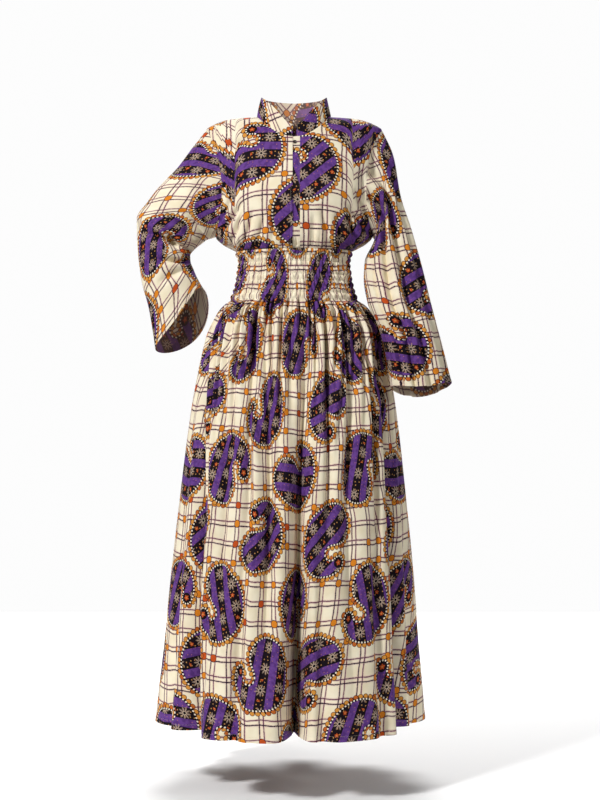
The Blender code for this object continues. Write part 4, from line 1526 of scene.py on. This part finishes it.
def sew_button(name, x, z, set_under):
    """Spins the button's outline, adds the bars of thread, and lays both on the cloth."""
    x, z = np.array(x), np.array(z)
    spot = set_back(on_torso(x, z, -1)) if set_under else on_torso(x, z, -1)
    step = BUTTON_RADIUS
    sideways = unit(on_torso(x + step, z, -1) - on_torso(x - step, z, -1))
    out = unit(np.cross(sideways, on_torso(x, z + step, -1) - on_torso(x, z - step, -1)))
    upward = np.cross(out, sideways)
    base = spot + out * (CLOTH / 2 + BUTTON_GAP)
    bm = bmesh.new()
    rim = [bm.verts.new((radius, 0, high * BUTTON_THICKNESS)) for radius, high in BUTTON_PROFILE]
    edges = [bm.edges.new(pair) for pair in zip(rim, rim[1:])]
    bmesh.ops.spin(
        bm, geom=rim + edges, axis=(0, 0, 1), cent=(0, 0, 0), angle=2 * np.pi, steps=BUTTON_STEPS,
        use_merge=True,
    )
    bmesh.ops.remove_doubles(bm, verts=bm.verts, dist=TOUCH)
    bmesh.ops.recalc_face_normals(bm, faces=bm.faces)
    turned = set(bm.faces)
    for side in (-1, 1):
        bar = bmesh.ops.create_icosphere(bm, subdivisions=2, radius=1.0)["verts"]
        bmesh.ops.scale(bm, vec=THREAD_BAR, verts=bar)
        place = (0, side * THREAD_BAR_ASIDE, BUTTON_THICKNESS * THREAD_BAR_HEIGHT)
        bmesh.ops.translate(bm, vec=place, verts=bar)
    for face in bm.faces:
        face.material_index = int(face not in turned)
    for vert in bm.verts:
        vert.co = base + sideways * vert.co.x + upward * vert.co.y + out * vert.co.z
    piece = put(name + "_turned", bm, BUTTON_GLOSS, THREAD_DARK)
    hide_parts(name)


sew_button("button_neck", 0.0022, -0.0690, True)
sew_button("button_waist", *WAIST_BUTTON, False)

# ---------------------------------------------------------------------------------------------
# Stitching: machine stitches at the hem, the sleeve hems, the collar's edges and the front
# edge, and the rows of thread over the elastic of the shirring. Each stitch is a short thread.
# ---------------------------------------------------------------------------------------------
STITCH = 0.0026
STITCH_GAP = 0.0009
THREAD_RADIUS = 0.00022
THREAD_FLATNESS = 0.8
ELASTIC_STITCH = 0.0030
ELASTIC_GAP = 0.0012
ROUND_SAMPLES = 1200


def on_panel(panel, row, column):
    """Points on the outside of a panel at fractional rows and columns, and which way they face."""
    rows, columns = panel.points.shape[0] - 1, panel.points.shape[1] - 1
    row, column = np.clip(row, 0, rows - 1e-6), np.clip(column, 0, columns - 1e-6)
    i, j = row.astype(int), column.astype(int)
    a, b = (row - i)[:, None], (column - j)[:, None]
    surface = panel.points + panel.facing * (CLOTH / 2 + panel.raised)[..., None]

    def blend(grid):
        near = grid[i, j] * (1 - b) + grid[i, j + 1] * b
        far = grid[i + 1, j] * (1 - b) + grid[i + 1, j + 1] * b
        return near * (1 - a) + far * a

    return blend(surface), unit(blend(panel.facing))


def small_thread(length):
    """One stitch: a small ball drawn out to a short thread."""
    bm = bmesh.new()
    bmesh.ops.create_icosphere(bm, subdivisions=1, radius=1.0)
    bmesh.ops.scale(bm, vec=(length / 2, THREAD_RADIUS, THREAD_RADIUS * THREAD_FLATNESS), verts=bm.verts)
    return as_mesh("small_thread", bm)


def read_line(line, run, at):
    """A line's points or directions at some lengths along it."""
    return np.stack([np.interp(at, run, line[:, axis]) for axis in range(3)], axis=-1)


def stitched(name, lines, surface, length=STITCH, gap=STITCH_GAP):
    """Copies one small thread along every line: a line is points on the cloth and their facing."""
    places = []
    for points, facing in lines:
        run = lengths_along(points, 0)
        starts = np.arange(gap, run[-1] - length, length + gap)
        middle = read_line(points, run, starts + length / 2)
        along = unit(read_line(points, run, starts + length) - middle)
        out = unit(read_line(facing, run, starts))
        places += zip(middle, along, unit(np.cross(out, along)), out)
    thread = small_thread(length)
    bm = bmesh.new()
    for place in places:
        bm.from_mesh(thread)
    bm.verts.ensure_lookup_table()
    size = len(thread.vertices)
    for count, (centre, along, side, out) in enumerate(places):
        for vert in bm.verts[count * size : (count + 1) * size]:
            vert.co = centre + along * vert.co.x + side * vert.co.y + out * vert.co.z
    bpy.data.meshes.remove(thread)
    piece = put(name, bm, surface)
    return piece


def line_at_height(panel, z):
    """A line round a skirt panel at one height."""
    heights = skirt_heights()
    row = np.interp(-z, -heights, np.arange(len(heights)))
    columns = np.linspace(0, panel.points.shape[1] - 1, ROUND_SAMPLES)
    return on_panel(panel, np.full(len(columns), row), columns)


def line_beside(panel, border, distance, samples):
    """A line along a border of a panel, so far from it."""
    away = panel.from_border(border)
    if "column" in border:
        away = away.T
    order = 1 if border.startswith("first") else -1
    along = np.linspace(0, away.shape[1] - 1, samples)
    inward = [np.interp(distance, away[::order, int(a)], np.arange(len(away))[::order]) for a in along]
    inward = np.array(inward)
    return on_panel(panel, along, inward) if "column" in border else on_panel(panel, inward, along)


# What is stitched: the piece, the borders that the stitches run beside and how far from them
Seam = namedtuple("Seam", "panel name borders distance samples")
SEAMS = (
    Seam(sleeve_left, "sleeve_hem_left", ("last_row",), HEM_STITCHED_AT, 500),
    Seam(sleeve_right, "sleeve_hem_right", ("last_row",), HEM_STITCHED_AT, 500),
    Seam(collar, "collar_stitches", ("last_row", "first_column", "last_column"), 0.003, 400),
    Seam(bodice_front_right, "front_edge_stitches", ("last_column",), 0.004, 400),
    Seam(button_band, "band_stitches", ("last_column",), 0.002, 400),
)
for seam in SEAMS:
    lines = [line_beside(seam.panel, border, seam.distance, seam.samples) for border in seam.borders]
    stitched(seam.name, lines, THREAD_CREAM)
elastic = [WAIST_SEAM + (SHIRRING_END - WAIST_SEAM) * row / PUFFS for row in range(1, PUFFS + 1)]
for panel in (skirt_front, skirt_back):
    hem_line = line_at_height(panel, HEM + HEM_STITCHED_AT)
    rows = [line_at_height(panel, z) for z in elastic]
    stitched(panel.name + "_hem", [hem_line], THREAD_CREAM)
    stitched(panel.name + "_elastic", rows, THREAD_DARK, ELASTIC_STITCH, ELASTIC_GAP)

# ---------------------------------------------------------------------------------------------
# Cut of the cloth: every piece is one sheet. A cut is recorded by name, width, length, area, held and
# sewn_to, but no piece is listed here. The skirt's finest gathers aren't modelled, so more cloth was cut
# than the shape shows.
# ---------------------------------------------------------------------------------------------
Cut = namedtuple("Cut", "name width length area held sewn_to")

# ---------------------------------------------------------------------------------------------
# Studio: a pale floor under soft lights, and the camera level with the middle of the dress.
# ---------------------------------------------------------------------------------------------
FLOOR_Z = -1.553
FLOOR_HALF_WIDTH = 1.95
FLOOR_BEHIND = 1.25
FLOOR_WHITE = (0.96, 0.96, 0.96, 1)
# The studio is white behind the dress and dimmer in front of it, where the lamps stand
WALL_BRIGHTNESS = 0.98
ROOM_BRIGHTNESS = 0.14
WALL_STARTS = 0.72
WALL_FADE = 0.20
DRESS_MIDDLE = (0, 0, -0.65)

floor_paint, tree, shader = new_material("studio_floor", 0.9)
feed(tree, shader, {"Base Color": FLOOR_WHITE})
bm = bmesh.new()
bmesh.ops.create_grid(bm, x_segments=2, y_segments=2, size=FLOOR_HALF_WIDTH)
bmesh.ops.translate(bm, vec=(0, FLOOR_BEHIND, FLOOR_Z), verts=bm.verts)
placed("studio_floor", as_mesh("studio_floor", bm, floor_paint))

world = bpy.data.worlds.new("studio")
bpy.context.scene.world = world
world.use_nodes = True
tree = world.node_tree
place = add_node(tree, "TexCoord", {}).outputs["Object"]
behind = clamped((split(tree, place)[1] - WALL_STARTS) / WALL_FADE, 0.0, 1.0)
brightness = behind * (WALL_BRIGHTNESS - ROOM_BRIGHTNESS) + ROOM_BRIGHTNESS
feed(tree, tree.nodes["Background"], {"Color": (1, 1, 1, 1), "Strength": brightness})


def soft_light(name, place, target, size, power):
    """A square lamp at a place, turned to a target."""
    lamp = placed(name, bpy.data.lights.new(name, "AREA"))
    lamp.data.size = size
    lamp.data.energy = power
    lamp.location = place
    aim = np.array(target) - np.array(place)
    tilt = np.pi / 2 - np.arctan2(-aim[2], np.hypot(aim[0], aim[1]))
    lamp.rotation_euler = (tilt, 0, np.arctan2(-aim[0], aim[1]))


soft_light("left_lamp", (-2.4, -2.8, 1.6), DRESS_MIDDLE, 0.6, 175)
soft_light("right_lamp", (2.8, -1.9, 0.3), DRESS_MIDDLE, 0.9, 26)
soft_light("floor_lamp", (0, 3.4, 2.8), (0, 4.4, -1.55), 3.0, 330)

camera = placed("camera", bpy.data.cameras.new("camera"))
camera.data.lens = 78.5
camera.data.sensor_width = 36
camera.location = (0.014, -4.1, -0.663)
camera.rotation_euler = (np.pi / 2, 0, 0)
bpy.context.scene.camera = camera
bpy.context.scene.view_settings.view_transform = "Standard"
